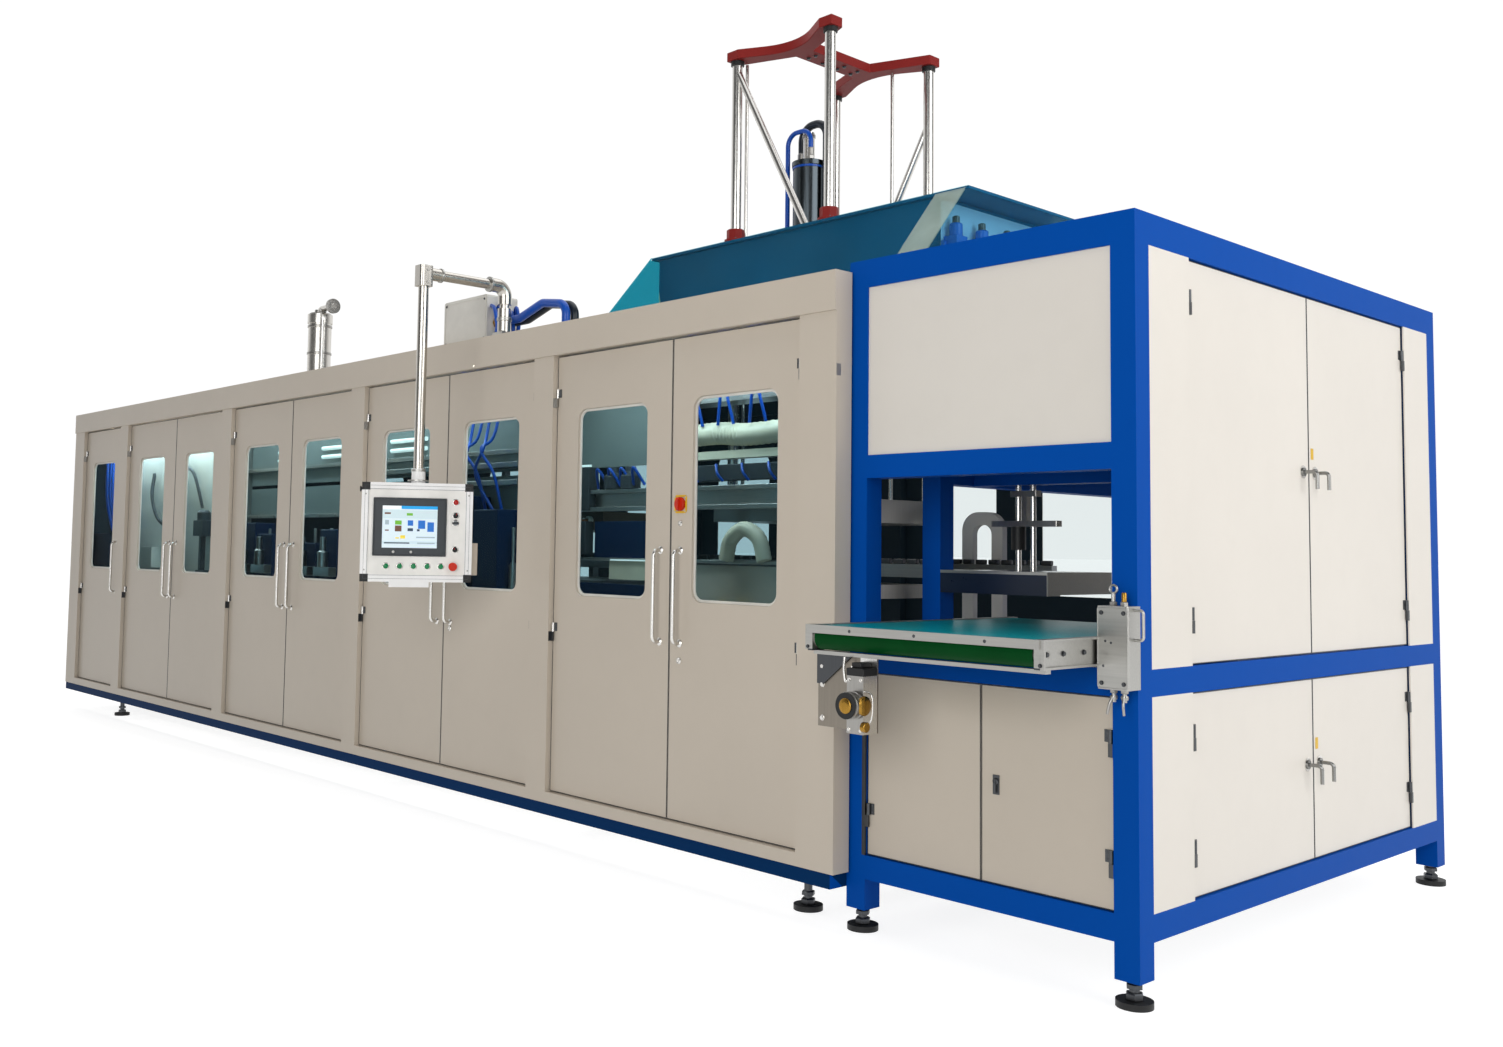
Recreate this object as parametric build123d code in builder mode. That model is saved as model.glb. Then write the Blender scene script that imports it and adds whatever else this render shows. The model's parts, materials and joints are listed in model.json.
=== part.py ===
"""In-line vacuum forming machine: cabinet, press tower, stacking station, conveyor and control arm."""
import os
from math import cos, radians, sin
from build123d import *

os.makedirs("parts", exist_ok=True)

# Axes: X along the machine, -Y towards the operator, Z up from the floor. All lengths are millimetres.

# Stacking station
station_width = 1220
station_depth = 2690
station_height = 2600
post_size = 90
post_foot_gap = 85
low_beam_bottom = 203
mid_beam_bottom = 990
sill_beam_bottom = 1738
beam_height = 90
top_beam_height = 110
inner_post_from_front = 470
inner_beam_from_front = 705
panel_recess = 8
panel_thickness = 24
filler_width = 275
station_door_recess = 12
station_door_depth = 22

# Cabinet
left_stile = 225
right_stile = 195
cabinet_post = 160
bay_openings = {"infeed": 880, "heat_one": 1835, "heat_two": 1720, "heat_three": 1715, "forming": 1640}
stile_lap = 20
fascia_proud = 112
fascia_depth = 100
fascia_height = 160
cabinet_drop = 43
post_set_back = 8
door_set_back = 28
cabinet_post_depth = 92
rear_post_depth = 70
rail_height = 52
plinth_bottom = 161
plinth_height = 58
plinth_depth = 70
plinth_set_back = 6
cross_rail = 60
roof_sheet = 4
cover_sheet = 6
inner_rail_from_centre = 430
inner_rail_width = 60

# Cabinet doors
door_sheet = 3
door_depth = 30
door_gap = 4
door_top_gap = 6
seam_offset = 33
window_width = 510
window_height = 898
window_from_top = 271
window_radius = 55
window_collar = 18
pane_thickness = 6
handle_low = 1040
handle_high = 1446
handle_from_edge = 64
handle_standoff = 42
handle_radius = 9
handle_bend = 26
hinge_from_top = 206
hinge_low = 1042
knuckle_radius = 8
knuckle_length = 44
knuckle_inset = 8
knuckle_proud = 6
lug_side = 5
hinge_play = 0.5

# Station door furniture
lever_rose_radius = 17
lever_rose_height = 8
lever_out = 55
lever_drop = 68
lever_radius = 7
lever_bend = 15
lever_from_edge = 52
running_gap = 0.3
upper_lever_height = 1790
lower_lever_height = 660
station_hinge_inset = 150

# Feet
foot_disc_radius = 60
foot_disc_height = 22
foot_stem_radius = 17
foot_from_left = 850
foot_from_right = 280
foot_from_front = 190

# Press head and tower
press_centre_from_right = 1246
press_centre_from_front = 1310
rod_half_x = 330
rod_half_y = 400
rod_radius = 28
rod_clearance = 0.4
tower_height = 995
tie_thickness = 50
tie_pad = 42
tie_waist_x = 60
tie_waist_y = 276
tie_web_end = 230
tie_web_bend = 150
tie_edge_bend = 320
tie_corner = 16
slim_rod_radius = 10
slim_rod_inset = 74
slim_rod_from_centre = 141
brace_radius = 19
brace_drop = 48
rear_brace_drop = 315
brace_rise = 1225
brace_slot_margin = 34
brace_slot_width = 60
guard_height = 526
guard_front_margin = 90
guard_left_margin = 584
guard_right_margin = 892
guard_sheet = 6
guard_flare = 450
crosshead_wall = 14
crosshead_set_in = 34
crosshead_short = 170
guide_plate_thickness = 14
bush_radius = 48
bush_flange_radius = 60
bush_height = 76
bush_flange_height = 22
platen_bottom = 1600
platen_thickness = 120
platen_margin = 70
press_stroke = 180
roof_opening_margin = 10
cylinder_from_centre = -172
cylinder_radius = 86
cylinder_height = 465
cylinder_cap_radius = 92
cylinder_cap_height = 26
cylinder_rod_radius = 32
cylinder_rod_height = 165
loop_hose_radius = 22
loop_rise = 210
loop_near = 60
loop_far = 118
loop_bend = 80
loop_behind = 12
line_hose_radius = 13
line_rise = 168
line_near = 58
line_far = 110
line_bend = 66
line_ahead = 50

# Forming bed and sheet line
table_top = 1290
table_thickness = 70
table_half_x = 400
table_half_y = 340
ram_radius = 80
ram_bottom = 860
bed_top = 1010
bed_thickness = 140
bed_half_x = 420
bed_leg = 80
chain_rail_top = 1400
chain_rail_height = 60
chain_rail_width = 46
rail_leg = 50
heater_length = 3100
heater_half_y = 340
heater_height = 110
heater_high_bottom = 1560
heater_low_bottom = 1150
heater_hanger = 40
heater_from_left = 3000
arch_from_right = 487
arch_width = 246
arch_top = 1668
arch_leg = 66
arch_thickness = 40
arch_corner = 96

# Control arm and panel
boom_x_from_right = 2310
boom_stand = 555
boom_base_set_in = 50
boom_rise = 258
base_flange = 88
base_flange_thickness = 14
base_stub_height = 70
pipe_radius = 26
elbow_radius = 36
elbow_length = 104
elbow_arm = 96
elbow_bend = 54
sleeve_size = 74
sleeve_corner = 16
boom_sleeve_length = 70
panel_width = 540
panel_height = 487
panel_bottom = 1271
panel_front = 40
panel_back = 48
panel_turn = 58.7
panel_frame = 34
panel_frame_proud = 8
neck_radius = 34
neck_height = 62
neck_plate = 10
tray_width = 194
tray_left = 140
tray_drop = 26
bezel_width = 356
bezel_height = 287
bezel_left = 57
bezel_low = 126
bezel_proud = 5
screen_width = 266
screen_height = 206
screen_thickness = 3
button_radius = 13
button_proud = 10
button_row = 77
button_start_share = 0.23
button_pitch_share = 0.123
stop_radius = 21
stop_proud = 26
stop_stem_radius = 11
stop_stem = 9
stop_stem_depth = 16
stop_bore = 26
stop_from_left = 448
lamp_column = 457
lamp_rows_share = (0.81, 0.675, 0.6, 0.33)

# Main switch on the right cabinet door
switch_from_edge = 62
switch_height = 1650
switch_radius = 30
switch_depth = 26

# Conveyor
conveyor_left_gap = 61
conveyor_right_gap = 15
conveyor_reach = 400
conveyor_inside = 900
side_profile_width = 22
side_profile_height = 94
side_profile_bottom = 1092
saddle_width = 60
nose_set_in = 46
belt_outer_radius = 44
belt_thickness = 4
belt_side_gap = 8
belt_drop = 3
roller_clearance = 0.3
shaft_radius = 12
shaft_clearance = 0.05
nose_bar_thickness = 6
nose_bar_height = 30
knob_radius = 17
knob_length = 16
motor_bar = 14
motor_plate_left = 15
motor_plate_width = 272
motor_plate_height = 258
motor_plate_thickness = 8
motor_body = 74
motor_body_height = 200
motor_wheel_radius = 46
motor_wheel_length = 50

# Service box on the near post
box_left_of_face = 98
box_right_of_face = 12
box_handle_radius = 5
box_handle_out = 30
box_handle_length = 96
box_handle_bend = 12
box_depth = 80
box_bottom = 1020
box_height = 268
box_plate = 6
valve_radius = 7
valve_length = 42
valve_inset = 36

# Roof fittings
filter_from_left = 3945
filter_from_front = 200
filter_radius = 78
filter_height = 395
filter_cap_radius = 84
filter_cap_height = 62
filter_pipe_radius = 20
filter_pipe_reach = 190
filter_pipe_rise = 40
cable_box_length = 425
cable_box_depth = 200
cable_box_height = 262
cable_box_gap = 238
hose_radius = 22
hose_spacing = 56
hose_reach = 610
hose_rise = 58
hose_height = 110

# Stacker
stacker_plate_length = 500
stacker_plate_depth = 470
stacker_plate_top = 1384
stacker_plate_thickness = 12
stacker_bracket_height = 80
stacker_rod_radius = 12
stacker_rod_spacing = 70
stacker_rod_from_left = 188
clamp_height = 24
clamp_depth = 40
clamp_high = 1690
clamp_low = 1566
clamp_short = 130
clamp_long = 320
gripper_radius = 30
gripper_height = 96
manifold_length = 120
manifold_height = 76

# Places that follow from the sizes above
posts_length = cabinet_post * (len(bay_openings) - 1)
cabinet_length = left_stile + right_stile + sum(bay_openings.values()) + posts_length
machine_length = cabinet_length + station_width - stile_lap
lever_reach = lever_out + lever_radius - station_door_recess
turn = radians(panel_turn)
foot_reach = foot_disc_radius - post_size / 2
front_reach = boom_stand + panel_width / 2 * sin(turn) + (panel_front + panel_frame_proud) * cos(turn)

cabinet_left = -(machine_length + lever_reach) / 2
cabinet_right = cabinet_left + cabinet_length
station_right = cabinet_left + machine_length
station_left = station_right - station_width
station_front = -(station_depth + foot_reach - front_reach) / 2
station_rear = station_front + station_depth
fascia_front = station_front - fascia_proud
post_front = fascia_front + post_set_back
door_front = post_front + door_set_back
machine_rear = station_rear
cabinet_top = station_height - cabinet_drop
fascia_bottom = cabinet_top - fascia_height
guard_top = cabinet_top + guard_height
tie_bottom = guard_top + tower_height
brace_top = tie_bottom - brace_drop
rear_brace_top = tie_bottom - rear_brace_drop
boom_height = cabinet_top + boom_rise
plinth_top = plinth_bottom + plinth_height
rail_top = plinth_top + rail_height
door_bottom = rail_top + door_gap
door_top = fascia_bottom - door_top_gap
window_bottom = door_top - window_from_top - window_height
press_x = station_left - press_centre_from_right
press_y = station_front + press_centre_from_front


def block(x, y, z):
    """Straight bar or plate between (low, high) limits on the three axes."""
    with BuildPart() as piece:
        with Locations((sum(x) / 2, sum(y) / 2, sum(z) / 2)):
            Box(x[1] - x[0], y[1] - y[0], z[1] - z[0])
    return piece.part


def slab(plane, u, v, w):
    """Straight bar between (low, high) limits along a plane's own axes."""
    with BuildPart(plane) as piece:
        with Locations((sum(u) / 2, sum(v) / 2, sum(w) / 2)):
            Box(u[1] - u[0], v[1] - v[0], w[1] - w[0])
    return piece.part


def round_bar(start, end, radius):
    """Straight round bar between two points."""
    run = Vector(*end) - Vector(*start)
    with BuildPart() as piece:
        with BuildSketch(Plane(origin=start, z_dir=run)):
            Circle(radius)
        extrude(amount=run.length)
    return piece.part


def bent_bar(points, radius, bend):
    """Round bar bent along a route of straight runs."""
    with BuildPart() as piece:
        with BuildLine() as route:
            FilletPolyline(*points, radius=bend)
        with BuildSketch(Plane(origin=route.line @ 0, z_dir=route.line % 0)):
            Circle(radius)
        sweep()
    return piece.part


def save(pieces, name):
    """Write one node, which holds one solid or a group of separate solids."""
    node = pieces[0] if len(pieces) == 1 else Compound(pieces)
    node.label = name
    export_step(node, f"parts/{name}.step")


def pair(start, size):
    """Limits, low first, of a size that runs from a place."""
    return (min(start, start + size), max(start, start + size))


def front_plane(x, z, face):
    """Plane on a face that looks to the front, with its axes to the right and up."""
    return Plane(origin=(x, face, z), x_dir=(1, 0, 0), z_dir=(0, -1, 0))


def side_plane(y, z, face):
    """Plane on a face that looks to the right, with its axes to the rear and up."""
    return Plane(origin=(face, y, z), x_dir=(0, 1, 0), z_dir=(1, 0, 0))


# Doors

def hinge_axis(width, side):
    """Distance of the hinge axis along a leaf, for a hinge on its left or right edge."""
    return knuckle_inset if side == "left" else width - knuckle_inset


def door_leaf(plane, width, height, depth, side, hinge_heights, window=None):
    """Folded sheet leaf with its hinge knuckles and, where it has one, a collared window."""
    with BuildPart() as leaf:
        with BuildSketch(plane):
            with Locations((width / 2, height / 2)):
                Rectangle(width, height)
        extrude(amount=-depth)
        with BuildSketch(plane.offset(-door_sheet)):
            with Locations((width / 2, height / 2)):
                Rectangle(width - 2 * door_sheet, height - 2 * door_sheet)
        extrude(amount=-depth, mode=Mode.SUBTRACT)
        if window:
            with BuildSketch(plane):
                with Locations(window):
                    RectangleRounded(
                        window_width + 2 * door_sheet,
                        window_height + 2 * door_sheet,
                        window_radius + door_sheet,
                    )
            extrude(amount=-window_collar)
            with BuildSketch(plane):
                with Locations(window):
                    RectangleRounded(window_width, window_height, window_radius)
            extrude(amount=-depth, mode=Mode.SUBTRACT)
        for height_up in hinge_heights:
            seat = plane.from_local_coords(Vector(hinge_axis(width, side), height_up, knuckle_proud))
            with BuildSketch(Plane(origin=seat, z_dir=(0, 0, 1))):
                Circle(knuckle_radius)
            extrude(amount=knuckle_length)
    return leaf.part


def hinge_lugs(plane, width, side, hinge_heights):
    """Fixed halves of the hinges, each a lug under the leaf's knuckle."""
    axis = hinge_axis(width, side)
    if side == "left":
        reach = (-door_gap, axis + lug_side)
    else:
        reach = (axis - lug_side, width + door_gap)
    return [
        slab(
            plane,
            reach,
            (height_up - hinge_play - knuckle_length, height_up - hinge_play),
            (knuckle_proud, knuckle_proud + knuckle_radius),
        )
        for height_up in hinge_heights
    ]


def pull_handle(plane, along):
    """Bent bar handle that stands off the leaf's face."""
    low = handle_low - plane.origin.Z
    high = handle_high - plane.origin.Z
    corners = [
        (along, low, 0),
        (along, low, handle_standoff),
        (along, high, handle_standoff),
        (along, high, 0),
    ]
    route = [plane.from_local_coords(Vector(*corner)) for corner in corners]
    return bent_bar(route, handle_radius, handle_bend)


def cabinet_doors():
    """Places of the cabinet leaves from left to right, as (left, right, hinge side)."""
    leaves = []
    left = cabinet_left + left_stile
    for bay, opening in bay_openings.items():
        right = left + opening
        if bay == "infeed":
            leaves.append((left + door_gap, right - door_gap, "left"))
        else:
            seam = (left + right) / 2 + seam_offset
            leaves.append((left + door_gap, seam - door_gap / 2, "left"))
            leaves.append((seam + door_gap / 2, right - door_gap, "right"))
        left = right + cabinet_post
    return leaves


leaf_height = door_top - door_bottom
cabinet_hinges = (hinge_low - door_bottom, leaf_height - hinge_from_top)
cabinet_lugs = []
switch_seat = None
for number, (left, right, side) in enumerate(cabinet_doors(), start=1):
    width = right - left
    face = front_plane(left, door_bottom, door_front)
    window_place = (width / 2, window_bottom + window_height / 2 - door_bottom)
    along = width - handle_from_edge if side == "left" else handle_from_edge
    leaf = door_leaf(face, width, leaf_height, door_depth, side, cabinet_hinges, window_place)
    save([leaf, pull_handle(face, along)], f"door_{number}")
    with BuildPart() as pane:
        with BuildSketch(face.offset(-window_collar)):
            with Locations(window_place):
                RectangleRounded(
                    window_width + 2 * door_sheet,
                    window_height + 2 * door_sheet,
                    window_radius + door_sheet,
                )
        extrude(amount=-pane_thickness)
    save([pane.part], f"window_{number}")
    cabinet_lugs += hinge_lugs(face, width, side, cabinet_hinges)
    switch_seat = face

# Main switch on the last cabinet door: a round knob with a raised grip
with BuildPart() as switch:
    knob_plane = switch_seat.offset(running_gap)
    switch_at = (switch_from_edge, switch_height - door_bottom)
    with BuildSketch(knob_plane):
        with Locations(switch_at):
            Circle(switch_radius)
    extrude(amount=switch_depth / 2)
    with BuildSketch(knob_plane.offset(switch_depth / 2)):
        with Locations(switch_at):
            SlotOverall(2 * switch_radius - door_gap, switch_radius / 2, rotation=90)
    extrude(amount=switch_depth / 2)
save([switch.part], "main_switch")

# Cabinet frame: every bar is a straight solid that butts against its neighbours
cabinet_bars = [
    block((cabinet_left, cabinet_right), pair(fascia_front, fascia_depth), (fascia_bottom, cabinet_top)),
    block((cabinet_left, cabinet_right), pair(post_front, cabinet_post_depth), (plinth_top, rail_top)),
]
stiles = [(cabinet_left, cabinet_left + left_stile)]
left = cabinet_left + left_stile
for opening in bay_openings.values():
    left += opening
    stiles.append((left, left + cabinet_post))
    left += cabinet_post
stiles[-1] = (stiles[-1][0], cabinet_right)
rear_end = cabinet_right - stile_lap
rear_posts = stiles[:-1] + [(stiles[-1][0], rear_end)]
cross_rails = [pair(sum(post) / 2 - cross_rail / 2, cross_rail) for post in rear_posts]
cross_rails[0] = pair(cabinet_left, cross_rail)
cross_rails[-1] = pair(rear_end, -cross_rail)
rear_post_front = machine_rear - rear_post_depth
roof_y = (fascia_front + fascia_depth, rear_post_front)
roof_z = (cabinet_top - roof_sheet, cabinet_top)
for front_post, rear_post, cross in zip(stiles, rear_posts, cross_rails):
    cabinet_bars.append(block(front_post, pair(post_front, cabinet_post_depth), (rail_top, fascia_bottom)))
    cabinet_bars.append(block(rear_post, (rear_post_front, machine_rear), (rail_top, fascia_bottom)))
    cabinet_bars.append(block(cross, roof_y, pair(roof_z[0], -cross_rail)))
rear_y = (rear_post_front, machine_rear)
cabinet_bars.append(block((cabinet_left, rear_end), rear_y, (fascia_bottom, cabinet_top)))
cabinet_bars.append(block((cabinet_left, rear_end), rear_y, (plinth_top, rail_top)))
save(cabinet_bars + cabinet_lugs, "cabinet_frame")

# Cover sheets of the cabinet: roof strips round the press opening, end sheet and glazed rear sheets
hole_half_x = rod_half_x + rod_radius + roof_opening_margin
hole_half_y = rod_half_y + rod_radius + roof_opening_margin
hole_x = (press_x - hole_half_x, press_x + hole_half_x)
hole_y = (press_y - hole_half_y, press_y + hole_half_y)
covers = [
    block((cabinet_left, hole_x[0]), roof_y, roof_z),
    block((hole_x[1], rear_end), roof_y, roof_z),
    block(hole_x, (roof_y[0], hole_y[0]), roof_z),
    block(hole_x, (hole_y[1], roof_y[1]), roof_z),
    block(
        pair(cabinet_left, cover_sheet),
        (post_front + cabinet_post_depth, rear_post_front),
        (plinth_top, roof_z[0] - cross_rail),
    ),
]
rear_panes = []
rear_face = Plane(origin=(0, machine_rear, 0), x_dir=(1, 0, 0), z_dir=(0, -1, 0))
rear_mid = window_bottom + window_height / 2
for before, after in zip(rear_posts, rear_posts[1:]):
    middle = (before[1] + after[0]) / 2
    opening = after[0] - before[1]
    share = 1 if opening < 2 * window_width else 2
    panes = [(middle + (place + 1 / 2 - share / 2) * opening / share, rear_mid) for place in range(share)]
    with BuildPart() as sheet:
        with BuildSketch(rear_face.offset(cover_sheet)):
            with Locations((middle, (rail_top + fascia_bottom) / 2)):
                Rectangle(opening, fascia_bottom - rail_top)
            with Locations(*panes):
                RectangleRounded(window_width, window_height, window_radius, mode=Mode.SUBTRACT)
        extrude(amount=cover_sheet)
    covers.append(sheet.part)
    with BuildPart() as glazing:
        with BuildSketch(rear_face.offset(2 * cover_sheet)):
            with Locations(*panes):
                RectangleRounded(
                    window_width + 2 * cover_sheet,
                    window_height + 2 * cover_sheet,
                    window_radius,
                )
        extrude(amount=pane_thickness)
    rear_panes += glazing.part.solids()
save(rear_panes, "rear_windows")

# Stacking station: square tube frame with two doors in front and four on its right side
post_x = (pair(station_left, post_size), pair(station_right - post_size, post_size))
post_y = (pair(station_front, post_size), pair(station_rear - post_size, post_size))
between_x = (station_left + post_size, station_right - post_size)
between_y = (station_front + post_size, station_rear - post_size)
low_beam = pair(low_beam_bottom, beam_height)
mid_beam = pair(mid_beam_bottom, beam_height)
sill_beam = pair(sill_beam_bottom, beam_height)
top_beam = (station_height - top_beam_height, station_height)
inner_post_y = pair(station_front + inner_post_from_front, post_size)
inner_beam_y = pair(station_front + inner_beam_from_front, post_size)
frame_bars = [block(x, y, (post_foot_gap, station_height)) for x in post_x for y in post_y]
frame_bars += [block(between_x, y, z) for y in post_y for z in (low_beam, mid_beam, sill_beam, top_beam)]
frame_bars += [block(x, between_y, z) for x in post_x for z in (low_beam, mid_beam, top_beam)]
frame_bars.append(block(post_x[0], inner_post_y, (mid_beam[1], top_beam[0])))
frame_bars.append(block(between_x, inner_beam_y, mid_beam))
frame_bars.append(block(post_x[0], (inner_post_y[1], between_y[1]), sill_beam))
frame_bars.append(block((post_x[0][1], post_x[1][1] - post_size), inner_beam_y, sill_beam))

# Blue plinth under the cabinet: long rails, end rails and two inner rails that carry the works
plinth_front = post_front + plinth_set_back
plinth_z = (plinth_bottom, plinth_top)
plinth_rear = (machine_rear - plinth_depth, machine_rear - plinth_set_back)
inner_rails = [
    pair(press_y + side * inner_rail_from_centre - inner_rail_width / 2, inner_rail_width) for side in (-1, 1)
]
frame_bars.append(block((cabinet_left, rear_end), pair(plinth_front, plinth_depth), plinth_z))
frame_bars.append(block((cabinet_left, rear_end), plinth_rear, plinth_z))
plinth_gaps = [
    (plinth_front + plinth_depth, inner_rails[0][0]),
    (inner_rails[0][1], inner_rails[1][0]),
    (inner_rails[1][1], plinth_rear[0]),
]
for rail in inner_rails:
    frame_bars.append(block((cabinet_left, rear_end), rail, plinth_z))
for cross in cross_rails:
    frame_bars += [block(cross, gap, plinth_z) for gap in plinth_gaps]
foot_xs = (cabinet_left + foot_from_left, rear_end - foot_from_right)
for x in foot_xs:
    outrigger = (x - cross_rail / 2, x + cross_rail / 2)
    frame_bars += [block(outrigger, gap, plinth_z) for gap in (plinth_gaps[0], plinth_gaps[-1])]


# Fixed sheets of the station: between its posts in front and behind, on top, and beside its doors
front_sheet_y = pair(station_front + panel_recess, panel_thickness)
rear_sheet_y = pair(station_rear - panel_recess, -panel_thickness)
covers.append(block(between_x, front_sheet_y, (sill_beam[1], top_beam[0])))
covers.append(block(between_x, rear_sheet_y, (sill_beam[1], top_beam[0])))
covers.append(block(between_x, rear_sheet_y, (low_beam[1], mid_beam[0])))
covers.append(block(between_x, between_y, pair(station_height, -roof_sheet)))
side_rows = {"upper": (mid_beam[1], top_beam[0]), "lower": (low_beam[1], mid_beam[0])}
filler_face = (station_right - panel_thickness, station_right)
for row in side_rows.values():
    covers.append(block(filler_face, pair(between_y[0], filler_width), row))
    covers.append(block(filler_face, pair(between_y[1] - filler_width, filler_width), row))
save(covers, "cover_panels")

station_lugs = []


def turning_lever(plane, along, up):
    """Cranked lever on a round rose."""
    centre = plane.from_local_coords(Vector(along, up, running_gap))
    elbow = plane.from_local_coords(Vector(along, up, lever_out))
    tip = plane.from_local_coords(Vector(along, up - lever_drop, lever_out))
    with BuildPart() as lever:
        with BuildLine() as route:
            FilletPolyline(centre, elbow, tip, radius=lever_bend)
        with BuildSketch(Plane(origin=centre, z_dir=plane.z_dir)):
            Circle(lever_radius)
        sweep()
        with BuildSketch(Plane(origin=centre, z_dir=plane.z_dir)):
            Circle(lever_rose_radius)
        extrude(amount=lever_rose_height)
    return lever.part


front_half = (between_x[1] - between_x[0]) / 2
front_leaf = front_half - door_gap - door_gap / 2
front_low = low_beam[1] + door_gap
front_height = mid_beam[0] - low_beam[1] - 2 * door_gap
front_hinges = (station_hinge_inset, front_height - station_hinge_inset)
for name, start, side in (
    ("left", between_x[0] + door_gap, "left"),
    ("right", between_x[0] + front_half + door_gap / 2, "right"),
):
    face = front_plane(start, front_low, station_front + station_door_recess)
    leaf = door_leaf(face, front_leaf, front_height, station_door_depth, side, front_hinges)
    save([leaf], f"station_front_door_{name}")
    station_lugs += hinge_lugs(face, front_leaf, side, front_hinges)

side_from = between_y[0] + filler_width
side_half = (between_y[1] - between_y[0]) / 2 - filler_width
side_leaf = side_half - door_gap - door_gap / 2
lever_heights = {"upper": upper_lever_height, "lower": lower_lever_height}
for row, limits in side_rows.items():
    row_low = limits[0] + door_gap
    row_height = limits[1] - limits[0] - 2 * door_gap
    row_hinges = (station_hinge_inset, row_height - station_hinge_inset)
    for name, start, side in (
        ("near", side_from + door_gap, "left"),
        ("far", side_from + side_half + door_gap / 2, "right"),
    ):
        face = side_plane(start, row_low, station_right - station_door_recess)
        leaf = door_leaf(face, side_leaf, row_height, station_door_depth, side, row_hinges)
        save([leaf], f"station_door_{row}_{name}")
        station_lugs += hinge_lugs(face, side_leaf, side, row_hinges)
        along = side_leaf - lever_from_edge if side == "left" else lever_from_edge
        save([turning_lever(face, along, lever_heights[row] - row_low)], f"lever_{row}_{name}")
save(frame_bars + station_lugs, "machine_frame")


def levelling_foot(x, y, top):
    """Round foot with a stem, standing on the floor."""
    with BuildPart() as foot:
        with BuildSketch():
            with Locations((x, y)):
                Circle(foot_disc_radius)
        extrude(amount=foot_disc_height)
        with BuildSketch(Plane.XY.offset(foot_disc_height)):
            with Locations((x, y)):
                Circle(foot_stem_radius)
        extrude(amount=top - foot_disc_height)
    return foot.part


feet = [levelling_foot(sum(x) / 2, sum(y) / 2, post_foot_gap) for x in post_x for y in post_y]
for x in foot_xs:
    for y in (plinth_front + foot_from_front, plinth_rear[1] - foot_from_front):
        feet.append(levelling_foot(x, y, plinth_bottom))
for cross in cross_rails[2:4]:
    feet += [levelling_foot(sum(cross) / 2, sum(rail) / 2, plinth_bottom) for rail in inner_rails]
save(feet, "levelling_feet")

# Press head: walls, guide plate with slots for the braces, and a flared guard of tinted sheet
guard_left = press_x - rod_half_x - guard_left_margin
guard_right = press_x + rod_half_x + guard_right_margin
guard_front = press_y - rod_half_y - guard_front_margin
guard_rear = press_y + rod_half_y + guard_front_margin
rod_places = [(press_x + sx * rod_half_x, press_y + sy * rod_half_y) for sx in (-1, 1) for sy in (-1, 1)]
plate_bottom = guard_top - guide_plate_thickness
slim_places = [
    (press_x - rod_half_x, press_y - rod_half_y + slim_rod_inset),
    (press_x + slim_rod_from_centre, press_y + rod_half_y - slim_rod_inset),
]
braces = [
    (press_y - rod_half_y, brace_top, brace_top - brace_rise),
    (press_y + rod_half_y, rear_brace_top - brace_rise, rear_brace_top),
]


def brace_crossing(left_z, right_z, z):
    """Place along X where a brace passes a height."""
    return press_x - rod_half_x + 2 * rod_half_x * (left_z - z) / (left_z - right_z)


with BuildPart() as guide_plate:
    with BuildSketch(Plane.XY.offset(plate_bottom)):
        with Locations(((guard_left + guard_right) / 2, press_y)):
            Rectangle(guard_right - guard_left, guard_rear - guard_front - 2 * guard_sheet)
        with Locations(*rod_places):
            Circle(rod_radius + rod_clearance, mode=Mode.SUBTRACT)
        with Locations(*slim_places):
            Circle(slim_rod_radius + rod_clearance, mode=Mode.SUBTRACT)
        for brace_y, left_z, right_z in braces:
            rest = brace_crossing(left_z, right_z, guard_top)
            down = brace_crossing(left_z, right_z, plate_bottom + press_stroke)
            with Locations(((rest + down) / 2, brace_y)):
                Rectangle(abs(rest - down) + 2 * brace_slot_margin, brace_slot_width, mode=Mode.SUBTRACT)
    extrude(amount=guide_plate_thickness)
wall_z = (cabinet_top, plate_bottom)
wall_x = (guard_left + crosshead_set_in, guard_right - crosshead_short)
wall_y = (guard_front + crosshead_set_in, guard_rear - crosshead_set_in)
crosshead = [
    guide_plate.part,
    block(wall_x, pair(wall_y[0], crosshead_wall), wall_z),
    block(wall_x, pair(wall_y[1], -crosshead_wall), wall_z),
    block(pair(wall_x[0], crosshead_wall), (wall_y[0] + crosshead_wall, wall_y[1] - crosshead_wall), wall_z),
    block(pair(wall_x[1], -crosshead_wall), (wall_y[0] + crosshead_wall, wall_y[1] - crosshead_wall), wall_z),
]
save(crosshead, "press_crosshead")


def sloped_sheet(top_y, foot_y, thickness):
    """Guard sheet that leans out from the guide plate down to the roof."""
    with BuildPart() as sheet:
        with BuildSketch(Plane.YZ.offset(guard_left)):
            with BuildLine():
                Polyline(
                    (top_y, guard_top),
                    (foot_y, cabinet_top),
                    (foot_y + thickness, cabinet_top),
                    (top_y + thickness, guard_top),
                    close=True,
                )
            make_face()
        extrude(amount=guard_right - guard_left)
    return sheet.part


def end_sheet(x):
    """Guard end of the same flare, fitted between the sloped sheets."""
    lean = guard_flare * guide_plate_thickness / (guard_top - cabinet_top) - guard_sheet
    with BuildPart() as sheet:
        with BuildSketch(Plane.YZ.offset(x)):
            with BuildLine():
                Polyline(
                    (guard_front - lean, plate_bottom),
                    (guard_front - guard_flare + guard_sheet, cabinet_top),
                    (guard_rear + guard_flare - guard_sheet, cabinet_top),
                    (guard_rear + lean, plate_bottom),
                    close=True,
                )
            make_face()
        extrude(amount=guard_sheet)
    return sheet.part


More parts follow.
